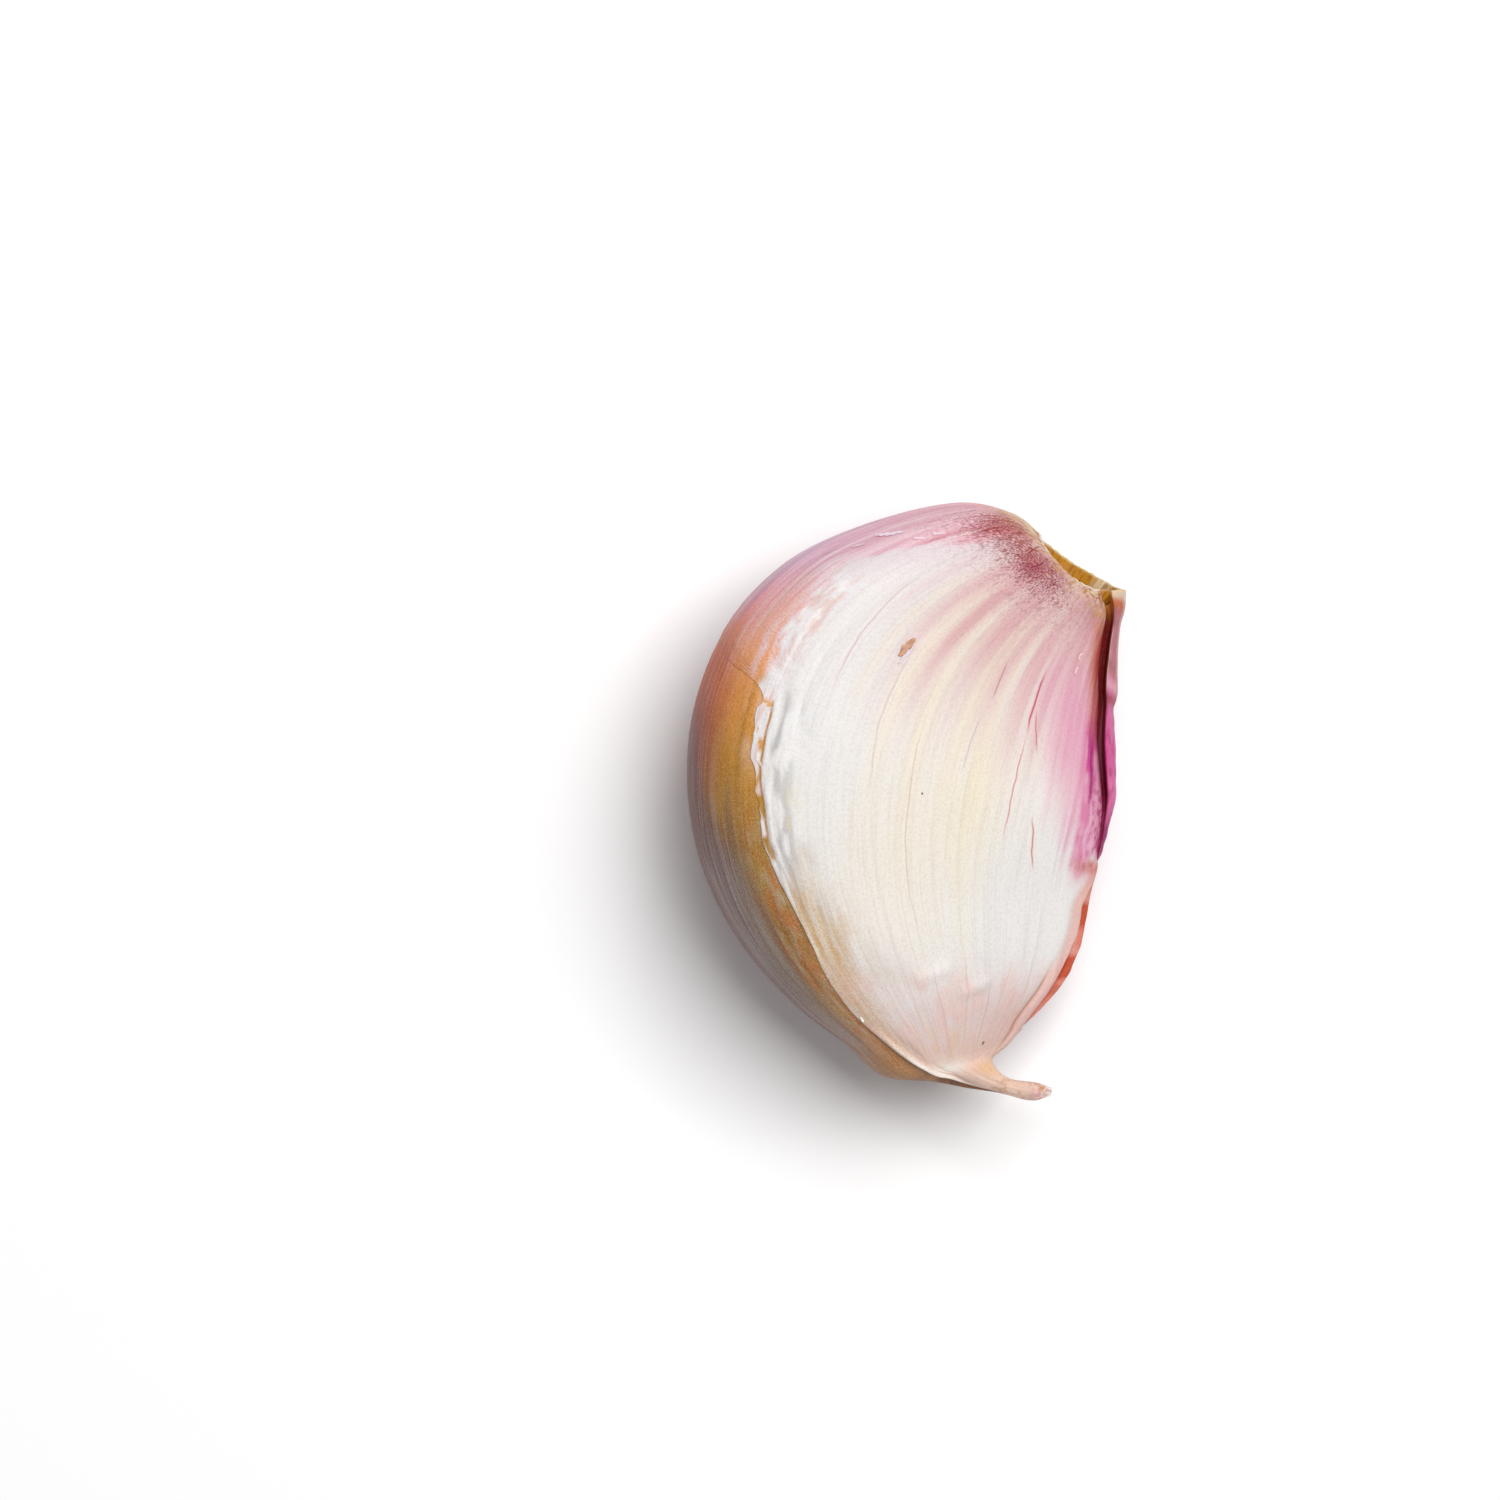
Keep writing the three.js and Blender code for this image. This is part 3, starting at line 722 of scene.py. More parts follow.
def paint_back(paint, amount):
    """The round back: lilac and pink near the root end, then salmon, ochre and tan, then grey-brown."""
    along, around = paint.along, paint.near
    lay, rib, mottle = paint.lay, paint.rib, paint.mottle
    at = along + 0.016 * noise(107, along, around, 9, 40) + 0.05 * (around - 0.45)
    turn = 0.475 - 0.033 * ease(0.42, 0.55, along)
    outer = ease(-0.02, 0.02, around - turn + 0.012 * noise(108, along, around, 14, 60))
    lay(shades(BACK_INNER, at), amount)
    lay(shades(BACK_OUTER, at), amount * outer)
    lower = amount * ease(0.33, 0.38, along)
    lay("#b0582c", 0.55 * lower * hump(0.478, 0.016, around) * ease(0.45, 0.41, along))
    rim_side = ease(0.488, 0.52, around + 0.008 * noise(110, along, around, 30, 90))
    rim_side = amount * rim_side * ease(0.36, 0.42, along)
    lay("#6c4440", 0.8 * rim_side)
    lay("#8c6468", 0.4 * rim_side * mottle(165, 60, 160, 0.5, 0.7))
    lay("#a87850", 0.6 * amount * hump(0.7, 0.05, along) * ease(0.425, 0.4, around))
    lay("#d8743c", 0.55 * amount * hump(0.36, 0.022, along) * hump(0.48, 0.022, around))
    strip = amount * band(0.475, 0.51, 0.6, 0.66, along)
    lay("#a49680", 0.55 * strip * hump(0.45, 0.016, around + 0.006 * noise(112, along, around, 30, 90)))
    # lilac and white bands along the outer edge of the shoulder
    shoulder = amount * band(0.14, 0.2, 0.27, 0.34, along)
    lay("#a870aa", 0.55 * shoulder * hump(0.505, 0.006, around) * mottle(121, 6, 60, 0.4, 0.6))
    lay("#cdbdd2", 0.8 * shoulder * hump(0.522, 0.009, around))
    lay("#b274ac", 0.55 * shoulder * hump(0.54, 0.007, around))
    lit = amount * band(0.345, 0.36, 0.39, 0.43, along)
    lit = lit * ease(0.028, 0.01, around - torn_edge(along))
    lay("#dcb694", 0.6 * lit * mottle(167, 50, 120, 0.3, 0.6))
    for around_at, start, end in ((0.449, 0.2, 0.36), (0.487, 0.26, 0.36), (0.4655, 0.24, 0.34)):
        lay("#ecd6cc", 0.5 * amount * rib(around_at, 0.0025, start, end))
    lay("#a8742c", 0.6 * amount * rib(0.437, 0.0025, 0.33, 0.47))
    mottled = amount * band(0.42, 0.5, 0.66, 0.74, along) * ease(0.45, 0.42, around)
    lay("#bc7038", 0.55 * mottled * mottle(185, 60, 150, 0.5, 0.66))
    lay("#b8a890", 0.45 * mottled * mottle(191, 60, 150, 0.54, 0.68))
    # fine grey and brown strands farther down
    strands = amount * ease(0.4, 0.47, along)
    middle = band(0.425, 0.455, 0.485, 0.505, around)
    lay("#b4b0b2", 0.12 * strands * mottle(123, 12, 190, 0.52, 0.72) * middle)
    lay("#64483c", 0.4 * strands * mottle(125, 10, 190, 0.55, 0.75) * ease(0.42, 0.46, around))
    lay("#7a4a22", 0.3 * strands * mottle(127, 9, 120, 0.5, 0.75))


# Where the white of the leaf gives way to the colours of the back: along, around.
WHITE_EDGE = (
    (0.0, 0.36), (0.1, 0.375), (0.16, 0.395), (0.19, 0.406), (0.213, 0.428), (0.236, 0.44), (0.262, 0.434),
    (0.285, 0.431), (0.335, 0.438), (0.35, 0.433), (0.356, 0.424), (0.38, 0.418), (0.48, 0.398),
)


def paint_leaf(mesh):
    """The leaf: pink ribs out of the root end, cream in the middle, white at the back, peach at the tail."""
    paint = Paint(mesh, "#e4e2e0")
    along, near = paint.along, paint.near
    lay, patch, rib, mottle = paint.lay, paint.patch, paint.rib, paint.mottle
    from_torn = torn_edge(along) - near
    from_sheet = sheet_edge(along) - near
    ribs = mottle(71, 3, 44, drift=0.1)
    thin = mottle(73, 5, 130)
    blotch = mottle(77, 30, 50)

    # cream in the middle, with yellow streaks and cool white ones
    cream = hump(0.43, 0.17, along) * hump(0.205 + 0.06 * ease(0.36, 0.52, along), 0.085, near)
    lay("#e9e2d6", 1.1 * cream)
    lay("#ecdfbc", 0.6 * cream * ease(0.42, 0.72, 0.5 * ribs + 0.25 * thin + 0.25 * mottle(75, 9, 20)))

    # pink and cream ribs by turns, that fade out down the leaf
    ribbed = ease(0.4, 0.15, along) * (1 - 0.85 * ease(0.28, 0.36, near))
    lay("#e2c3bf", 1.1 * ribbed)
    for around, width, start, end, strength in (
        (0.352, 0.005, 0.12, 0.28, 0.4), (0.317, 0.007, 0.08, 0.34, 0.55), (0.283, 0.011, 0.05, 0.36, 0.66),
        (0.234, 0.008, 0.05, 0.28, 0.45), (0.205, 0.007, 0.06, 0.36, 0.5), (0.164, 0.01, 0.05, 0.4, 0.65),
        (0.131, 0.007, 0.04, 0.38, 0.6), (0.105, 0.007, 0.04, 0.34, 0.6),
    ):
        lay("#d9a6a8", 0.85 * strength * rib(around, width, start, end))
    for around, width, start, end, strength in (
        (0.336, 0.006, 0.13, 0.4, 0.45), (0.3, 0.01, 0.12, 0.5, 0.65), (0.254, 0.01, 0.11, 0.54, 0.75),
        (0.221, 0.009, 0.11, 0.5, 0.7), (0.186, 0.006, 0.1, 0.46, 0.55),
        (0.118, 0.004, 0.09, 0.34, 0.45),
    ):
        lay("#ebe0cb", strength * rib(around, width, start, end))
    lay("#d0949c", 0.4 * ribbed * mottle(81, 4, 110, 0.5, 0.75) * ease(0.32, 0.22, along))
    lay("#e4dbd8", 0.5 * hump(0.28, 0.1, along) * ease(0.5, 0.75, thin))

    # white and lilac by the back, and the rosy shoulder beyond it
    edge = reading(WHITE_EDGE, along)
    ragged = 0.012 * noise(83, along, near, 34, 80) + 0.01 * noise(84, along, near, 80, 170)
    soft = 1 - 0.6 * ease(0.23, 0.28, along)
    beyond = ease(-0.004, 0.008, (near - edge + ragged) / soft) * ease(0.358, 0.35, along)
    lay("#dccfd4", 0.8 * ease(-0.05, -0.005, near - edge) * ease(0.32, 0.24, along))
    paint_back(paint, beyond)
    shoulder = beyond * ease(0.29, 0.22, along)
    lay("#cc7c98", 0.4 * shoulder * mottle(85, 5, 110, 0.52, 0.72))
    lay("#ead9de", 0.75 * shoulder * mottle(87, 8, 80, 0.56, 0.72) * ease(0.13, 0.2, along))
    lay("#c87a8c", 0.7 * shoulder * hump(0.4145, 0.0035, near) * ease(0.24, 0.2, along))
    lay("#ecdcdc", 0.8 * shoulder * hump(0.4085, 0.0025, near) * ease(0.24, 0.2, along))

    # a pale veil over the edge of the white
    veil = beyond * band(0.2, 0.25, 0.33, 0.35, along) * ease(0.03, 0.004, near - edge)
    lay("#ead6de", 0.75 * veil * mottle(181, 50, 130, 0.38, 0.6))

    # film between the whole sheet and the torn edge: mottled white and lilac, with salmon showing through
    film = ease(-0.003, 0.001, -from_sheet) * ease(0.225, 0.25, along) * (1 - beyond)
    lay("#e4dee0", film)
    lay("#dcb4a8", 0.6 * film * mottle(89, 50, 130, 0.53, 0.64))
    lay("#eeebea", 0.8 * film * mottle(91, 60, 140, 0.52, 0.66))
    salmon = scratch(along, near, (0.285, 0.413), (0.318, 0.407), 0.1)
    salmon = np.maximum(salmon, scratch(along, near, (0.318, 0.407), (0.342, 0.408), 0.08))
    lay("#d8b0a0", 0.6 * salmon * ease(0.3, 0.6, blotch))
    low_film = ease(0.352, 0.358, along) * ease(-0.0005, 0.001, -from_sheet)
    bare = np.maximum(ease(0.462, 0.48, along), mottle(93, 90, 150, 0.52, 0.6))
    bare = np.maximum(bare, hump(-0.0022, 0.0014, from_sheet))
    lay(shades(BACK_INNER, along), low_film * bare * ease(0.5, 0.49, along))
    lay("#8c6226", 0.7 * low_film * hump(-0.002, 0.0012, from_sheet) * ease(0.48, 0.45, along))
    hem_line = band(0.352, 0.358, 0.49, 0.5, along) * hump(0.0014, 0.0012, from_torn)
    lay("#ebe4e2", 0.6 * hem_line * ease(0.35, 0.6, blotch))

    # the sheet's border: a painted highlight along its rim, grey mottling as painted shade and white
    # mottling as painted highlights among its crumples, then yellow mottling that turns tan farther down
    rim = band(0.33, 0.36, 0.6, 0.66, along)
    border = band(0.0, 0.008, 0.015, 0.055, from_sheet) * rim
    # grey mottling is painted shade among the crumples, white mottling painted highlights
    lay("#c0bfbe", 0.85 * border * mottle(95, 34, 90, 0.4, 0.66))
    lay("#ecebea", 0.8 * border * mottle(97, 30, 110, 0.54, 0.74))
    lay("#dcc898", 0.5 * border * mottle(99, 40, 90, 0.5, 0.68) * ease(0.4, 0.44, along))
    tan = ease(0.1, 0.01, from_torn) * band(0.44, 0.56, 0.68, 0.78, along)
    broken = 0.55 * (mottle(131, 34, 80) - 0.5) + 0.45 * (mottle(133, 26, 220) - 0.5)
    lay("#ceb490", 0.85 * tan * ease(0.05, 0.95, 1.1 * tan + broken))
    lay("#c89454", 0.45 * tan * mottle(135, 44, 110, 0.54, 0.68))
    lay("#d8d4d2", 0.6 * tan * mottle(137, 20, 200, 0.55, 0.75))
    # a painted highlight along the raised rim, broken up farther down
    rim_highlight = 0.95 - 0.55 * ease(0.47, 0.52, along) * mottle(157, 50, 10, 0.35, 0.6)
    lay("#eceae8", rim_highlight * rim * hump(0.0036, 0.0026, from_sheet))
    lay("#e6e2de", 0.7 * hump(0.013, 0.0018, from_torn) * band(0.43, 0.45, 0.49, 0.52, along))

    # painted highlights along two raised ridges
    for start, end in (((0.597, 0.262), (0.585, 0.226)), ((0.62, 0.196), (0.606, 0.162))):
        lay("#f2efec", 0.8 * scratch(along, near, start, end, 0.32))

    # the tail end
    # a greyer patch, painted shade in a soft dent
    lay("#cdc2ba", 0.6 * patch(0.594, 0.315, 0.03, 0.036))
    lay("#dccbc8", 0.95 * ease(0.56, 0.66, along) * (1 - 0.5 * tan))
    lay("#dcd9d8", 0.55 * band(0.54, 0.6, 0.62, 0.7, along) * ease(0.5, 0.75, blotch))
    lay("#e4c0b8", 0.5 * band(0.57, 0.62, 0.68, 0.74, along) * mottle(195, 22, 34, 0.5, 0.66))
    lay("#e4c2b2", 0.9 * ease(0.66, 0.76, along))
    lay("#d9b08c", 0.5 * patch(0.725, 0.265, 0.03, 0.05) * ease(0.3, 0.7, blotch))
    lay("#e0b0a4", 0.5 * patch(0.68, 0.07, 0.06, 0.09))
    lay("#e2c0a0", 0.45 * patch(0.69, 0.25, 0.04, 0.05) * ease(0.35, 0.65, blotch))
    # a painted highlight along the ridge near the tail
    lay("#efe6dc", 0.95 * patch(0.775, 0.27, 0.03, 0.07))
    # white along the rolled lip's edge: the leaf's own white, made brighter as a painted highlight
    lip = band(0.66, 0.73, 0.82, 0.9, along)
    lay("#f0e8e0", lip * ease(0.02, 0.01, from_torn))
    lay("#e6b888", 0.8 * patch(0.835, 0.12, 0.035, 0.09))
    lay("#e6c6b2", 0.75 * ease(0.84, 0.9, along))
    lay("#eedcca", 0.6 * ease(0.82, 0.88, along) * mottle(171, 40, 14, 0.5, 0.7))
    lay("#b07a4c", 0.5 * ease(0.84, 0.9, along) * mottle(173, 170, 16, 0.7, 0.8))
    lay("#d8a4a8", 0.8 * ease(0.925, 0.955, along) * mottle(193, 120, 14, 0.3, 0.6))
    lay("#f4efe8", 0.9 * ease(0.95, 0.98, along) * mottle(139, 120, 16, 0.46, 0.56))
    lay("#c07c24", 0.9 * patch(0.968, 0.15, 0.01, 0.07))

    # magenta beside the keel
    from_keel = keel_distance(along, near) - reading(KEEL_EDGE, along)
    from_keel = np.where(near > 0.3, 9.0, from_keel)
    side = ease(0.14, 0.24, along) * ease(0.462, 0.415, along + 0.03 * noise(94, along, near, 20, 60))
    side_streak = 0.5 * mottle(95, 8, 190) + 0.5 * mottle(169, 60, 160)
    reach = np.interp(along, (0.2, 0.3, 0.43), (5.2, 4.8, 2.6))
    lay("#dc9cb4", 0.95 * side * ease(1, 0.25, (from_keel + 1.6 * (thin - 0.5)) / reach))
    centre = np.interp(along, (0.2, 0.27, 0.34, 0.42), (0.15, 0.35, 0.85, 0.9))
    broad = np.interp(along, (0.2, 0.27, 0.34, 0.42), (0.35, 0.6, 0.6, 0.75))
    strong = side * ease(0.2, 0.26, along) * hump(0, 1, (from_keel - centre + 0.8 * (thin - 0.5)) / broad)
    strong = strong * (1 - 0.55 * ease(0.29, 0.33, along))
    lay("#c8408c", 1.05 * strong * ease(0.25, 0.65, side_streak + 0.1))
    streak = band(0.21, 0.24, 0.33, 0.36, along)
    lean = np.interp(along, (0.21, 0.36), (0.18, 0.8))
    lay("#a0106c", 0.9 * streak * hump(0, 0.13, from_keel - lean + 0.06 * noise(143, along, 0.5, 30, 4)))
    border = side * ease(0.3 + 0.16 * hump(0.22, 0.04, along), 0.0, from_keel)
    lay("#9c1c5c", 0.85 * border * mottle(97, 12, 160, 0.35, 0.6))
    pale = side * ease(1.6, 0.9, from_keel) * ease(0.31, 0.36, along)
    pale_spots = 0.5 * mottle(145, 30, 260) + 0.5 * mottle(159, 90, 260)
    lay("#e6b4ca", 0.6 * pale * ease(0.45, 0.66, pale_spots))
    plum = side * ease(0.3, 0.34, along) * ease(0.9, 0.3, from_keel)
    lay("#b03a78", 0.75 * plum * mottle(175, 110, 300, 0.52, 0.62))
    lay("#cc7c78", 0.9 * patch(0.441, 0.022, 0.011, 0.02))
    lay("#a04c34", 0.95 * patch(0.44, 0.022, 0.009, 0.018) * mottle(189, 120, 260, 0.42, 0.58))
    lay("#d08a80", 0.85 * hump(0.466, 0.024, along) * ease(0.5, 0.1, from_keel))
    lay("#c8605c", 0.6 * patch(0.444, 0.009, 0.012, 0.01))
    lay("#dcaab4", 0.5 * hump(0.455, 0.02, along) * hump(0.8, 0.5, from_keel))
    pink = ease(3.0, 0.8, from_keel) * band(0.02, 0.06, 0.17, 0.24, along)
    lay("#d0809c", 0.5 * pink * ease(0.2, 0.7, 0.5 * ribs + 0.5 * thin))
    slope = ease(0.95, 0.2, from_keel) * band(0.01, 0.04, 0.2, 0.28, along)
    lay("#c4705c", 0.95 * slope)
    reddish = ease(0.5, 0.1, from_keel + 0.5 * (thin - 0.5))
    lay("#9c2a38", 0.85 * slope * reddish * ease(0.04, 0.09, along))
    low = band(0.43, 0.49, 0.6, 0.68, along)
    lay("#daa498", 0.75 * low * ease(0.75, 0.1, from_keel))
    hem = band(0.58, 0.62, 0.72, 0.76, along)
    lay("#dfb8b0", 0.8 * hem * ease(0.55, 0.42, from_keel))
    lay("#a8745a", 0.7 * hem * hump(0.52, 0.07, from_keel))

    # the root end: beige, then the dark rose patches behind it
    lay("#dab4a4", 0.95 * ease(0.12, 0.05, along))
    lay("#d6cdb4", 0.6 * ease(0.05, 0.02, along) * mottle(147, 40, 30, 0.4, 0.7))
    lay("#dcacb8", 0.35 * patch(0.145, 0.27, 0.035, 0.09))
    lay("#cc9494", 0.85 * patch(0.106, 0.33, 0.026, 0.066))
    lay("#b0606c", 0.85 * patch(0.116, 0.296, 0.017, 0.022))
    lay("#c08c94", 0.7 * patch(0.09, 0.125, 0.04, 0.028))
    lay("#c8827c", 0.75 * patch(0.108, 0.398, 0.03, 0.026))
    lay("#c8867e", 0.6 * patch(0.09, 0.43, 0.03, 0.036))
    for start, end, width in (
        ((0.062, 0.418), (0.15, 0.396), 0.16), ((0.07, 0.432), (0.145, 0.419), 0.12),
        ((0.078, 0.446), (0.15, 0.438), 0.12), ((0.062, 0.4), (0.128, 0.372), 0.14),
        ((0.066, 0.38), (0.12, 0.345), 0.12), ((0.07, 0.35), (0.118, 0.318), 0.14),
    ):
        lay("#8c3a3c", 0.75 * scratch(along, near, start, end, width) * mottle(161, 60, 160, 0.35, 0.6))
    lay("#c48c44", 0.85 * ease(0.13, 0.06, along) * mottle(163, 70, 120, 0.48, 0.6))
    lay("#a05c28", 0.8 * ease(0.09, 0.03, along) * mottle(177, 90, 150, 0.5, 0.62))
    lay("#e4cfa8", 0.6 * ease(0.1, 0.05, along) * mottle(179, 60, 110, 0.52, 0.64))
    lay("#ece6dc", 0.9 * ease(0.007, 0.002, along))
    paint.keep()
    rose = patch(0.108, 0.3, 0.034, 0.1) + 0.8 * patch(0.1, 0.42, 0.05, 0.05)
    rose = rose + 0.25 * patch(0.14, 0.24, 0.05, 0.12)
    keep_zone(mesh, "dots", 1.1 * rose + 0.06 * ease(0.22, 0.12, along))
    keep_zone(mesh, "golden", 1.2 * tan * ease(0.2, 0.8, 1.1 * tan + broken))
    keep_zone(mesh, "veined", band(0.48, 0.6, 0.78, 0.84, along) * (1 - 0.6 * ease(0.3, 0.34, near)))
    keep_zone(mesh, "fibres", 1 - 0.55 * beyond)
    far_side = ease(0.445, 0.475, near)
    fewer = 1 - (1 - 0.8 * far_side) * ease(0.22, 0.31, along)
    keep_zone(mesh, "strands", beyond * (0.4 + 0.3 * far_side) * fewer + 0.5 * tan)
    keep_zone(mesh, "speckled", 0.5 * beyond * ease(0.2, 0.3, along) + 0.2 * beyond + 0.5 * tan)


def paint_clove(mesh):
    """The clove's skin: its back, the purple keel, the plum underside and the scar at the root end."""
    paint = Paint(mesh, "#b08a90")
    along, around, near = paint.along, paint.around, paint.near
    lay, mottle = paint.lay, paint.mottle
    back = band(0.34, 0.38, 0.585, 0.67, around)
    paint_back(paint, back)
    under_lip = hump(0.002, 0.007, near - torn_edge(along)) * band(0.64, 0.7, 0.84, 0.9, along)
    lay("#a0602c", 0.75 * under_lip)

    # the underside
    under = band(0.585, 0.65, 0.955, 0.985, around)
    lay("#8d5468", under)
    lay("#6c3048", 0.8 * under * mottle(105, 3, 26, 0.45, 0.7) * hump(0.45, 0.35, along))
    lay("#a87888", 0.6 * under * mottle(101, 4, 60, 0.5, 0.7))
    lay("#a98a64", 0.9 * under * ease(0.16, 0.06, along))
    lay("#b08a70", 0.9 * under * ease(0.6, 0.78, along))

    # the keel: a tan fin that turns purple, the groove beside it, the orange-brown flange lower down
    inwards = keel_distance(along, around)
    inwards = np.where((around > 0.3) & (around < 0.8), 9.0, inwards)
    keel = band(-1.6, -0.8, 1.2, 1.6, inwards)
    lay("#b07078", keel)
    lay("#dcb8b0", 0.6 * keel * hump(0.06, 0.07, inwards) * ease(0.18, 0.14, along))
    lay("#e6d8c4", 0.8 * keel * ease(0.03, 0.012, along))
    at = inwards / reading(FIN_SIZE, along)[..., 0]
    turns_purple = ease(0.15, 0.21, along + 0.03 * noise(109, along, around, 30, 40))
    lay("#d0689c", 0.95 * keel * turns_purple * ease(0.47, 0.43, along))
    darker = keel * band(0.2, 0.26, 0.42, 0.46, along)
    lay("#9c2c6c", 0.6 * darker * mottle(183, 90, 260, 0.45, 0.62))
    lay("#e4c8c8", 0.6 * hump(0.56, 0.05, inwards) * band(0.05, 0.1, 0.17, 0.2, along))
    lay("#b86434", 0.85 * keel * hump(0.032, 0.016, along) * ease(-0.1, 0.25, inwards))
    lay("#e4c0c4", 0.45 * keel * hump(0.17, 0.01, along))
    lay("#a04450", 0.65 * keel * hump(0.192, 0.009, along))
    lay("#c03c84", 0.45 * keel * hump(0.27, 0.025, along))
    lay("#b42874", 0.8 * hump(0.62, 0.1, at) * keel * band(0.18, 0.21, 0.42, 0.45, along))
    lay("#8a1e56", 0.9 * keel * hump(0.395, 0.035, along))
    lay("#cc8474", keel * band(0.43, 0.49, 0.72, 0.78, along))
    flange = keel * band(0.45, 0.5, 0.7, 0.75, along)
    lay("#d8745c", 0.6 * flange)
    lay("#9c4424", 0.4 * flange * mottle(113, 30, 160, 0.6, 0.8))
    lay("#e0aca0", 0.55 * flange * mottle(117, 22, 120, 0.5, 0.8))
    blobs = np.maximum(0.9 * hump(0.516, 0.023, along), hump(0.592, 0.024, along))
    lay("#ba4218", 0.9 * flange * ease(0.3, 0.7, blobs))
    groove = band(0.56, 0.66, 1.2, 1.4, at) * ease(0.45, 0.42, along)
    lay("#b8642c", 0.95 * groove)
    lay("#8c2020", 0.97 * groove * ease(0.052, 0.095, along))
    lay("#8e1040", 0.9 * groove * ease(0.19, 0.26, along))
    # the groove's floor: its maroon deepened as painted shade
    groove_floor_shade = groove * band(0.065, 0.11, 0.3, 0.36, along)
    lay("#5c0c1c", 0.45 * groove_floor_shade * hump(0.84, 0.17, at))
    lay("#a4305c", 0.85 * groove * ease(0.31, 0.4, along))
    lay("#c8588c", 0.6 * groove * ease(0.31, 0.4, along) * mottle(187, 110, 300, 0.5, 0.6))
    # a dark line on the skin along the leaf's edge, painted shade in the slit under it
    slit = reading(KEEL_EDGE, along)
    lay("#7a2a14", 0.8 * band(0.45, 0.5, 0.69, 0.73, along) * hump(slit, 0.09, inwards))

    # the tail, and the root end with its scar
    lay("#b88044", 0.75 * back * ease(0.66, 0.73, along))
    lay("#b07c44", 0.9 * ease(0.745, 0.79, along))
    lay("#8c4c10", 0.8 * ease(0.8, 0.83, along))
    lay("#6c4420", 0.7 * ease(0.765, 0.8, along) * mottle(151, 90, 30, 0.54, 0.68))
    lay("#cda590", 0.8 * ease(0.91, 0.95, along))
    outside = along >= 0
    near_rim = ease(0.035, 0.004, along) * outside * (1 - 0.6 * ease(0.4, 0.44, around))
    lay("#c09a52", 0.9 * near_rim * (1 - groove) * (1 - 0.7 * keel))
    lay("#e09850", 0.85 * groove * ease(0.08, 0.04, along))
    scar = along < -0.001
    lay("#b47a14", scar)
    lay("#e0d2b4", 0.85 * scar * hump(0.93, 0.026, around + 0.012 * noise(116, 0.5, around, 4, 90)))
    lay("#7c4a16", 0.6 * scar * ease(0.0, 0.4, noise(119, -6 * along, around, 7, 110)))
    lay("#6e4a1c", 0.9 * ease(-0.012, -0.045, along) * ease(-0.4, 0.2, noise(115, 0.5, around, 4, 26)))
    lay("#3c2614", 0.85 * ease(-0.035, -0.075, along))
    lay("#dcc890", 0.9 * hump(-0.0015, 0.0035, along))
    paint.keep()
    keep_zone(mesh, "dots", 0.15 * back)
    keep_zone(mesh, "golden", 0 * back)
    keep_zone(mesh, "veined", under * hump(0.42, 0.34, along))
    keep_zone(mesh, "fibres", 0.45 * outside)
    far_side = ease(0.445, 0.475, around)
    lower = ease(0.4, 0.48, along) * (0.25 + 0.6 * far_side)
    keep_zone(mesh, "strands", back * np.maximum(lower, 0.4 * far_side))
    keep_zone(mesh, "speckled", back * (0.2 + 0.4 * ease(0.2, 0.3, along)))


# ---------------------------------------------------------------- materials
def add(tree, kind, inputs, output=0, **settings):
    """Adds a node. Its inputs are sockets to link or values to set, by name or by number."""
    node = tree.nodes.new(kind)
    for name, value in settings.items():
        setattr(node, name, value)
    for name, value in inputs.items():
        if isinstance(value, bpy.types.NodeSocket):
            tree.links.new(value, node.inputs[name])
        else:
            node.inputs[name].default_value = value
    return node.outputs[output]


def maths(tree, operation, a, b=0.0):
    return add(tree, "ShaderNodeMath", {0: a, 1: b}, operation=operation)


def times(tree, a, b):
    return maths(tree, "MULTIPLY", a, b)


def plus(tree, a, b):
    return maths(tree, "ADD", a, b)


def steps(tree, value, low, high):
    """0 at low, 1 at high, smooth between. Low may be above high."""
    return add(tree, "ShaderNodeMapRange", {"Value": value, "From Min": low, "From Max": high},
               interpolation_type="SMOOTHSTEP")


def blend(tree, amount, under, over, mode="MIX"):
    """One colour over another."""
    node = tree.nodes.new("ShaderNodeMix")
    node.data_type = "RGBA"
    node.blend_type = mode
    for socket, value in zip((node.inputs[0], node.inputs[6], node.inputs[7]), (amount, under, over)):
        if isinstance(value, bpy.types.NodeSocket):
            tree.links.new(value, socket)
        elif isinstance(value, str):
            socket.default_value = (*tone(value), 1)
        else:
            socket.default_value = value
    return node.outputs[2]


def zone(tree, name):
    """A painted zone of the piece."""
    return add(tree, "ShaderNodeAttribute", {}, output=2, attribute_name=name)


def streak_noise(tree, across, along, detail=2.0, seed=0.0):
    """A noise drawn out along the clove: so many streaks round it, so many along it."""
    uv = add(tree, "ShaderNodeUVMap", {}, uv_map="skin")
    scaled = add(tree, "ShaderNodeVectorMath", {0: uv, 1: (across, along, 0)}, operation="MULTIPLY")
    moved = add(tree, "ShaderNodeVectorMath", {0: scaled, 1: (seed, seed * 0.7, seed)}, operation="ADD")
    return add(tree, "ShaderNodeTexNoise", {"Vector": moved, "Scale": 1.0, "Detail": detail})


def grain(tree, size, detail=2.0):
    """An even noise with grains of about that size, in metres."""
    place = add(tree, "ShaderNodeTexCoord", {}, output=3)
    return add(tree, "ShaderNodeTexNoise", {"Vector": place, "Scale": 0.6 / size, "Detail": detail})


def uv_parts(tree):
    node = tree.nodes.new("ShaderNodeSeparateXYZ")
    tree.links.new(add(tree, "ShaderNodeUVMap", {}, uv_map="skin"), node.inputs[0])
    return node.outputs[0], node.outputs[1]


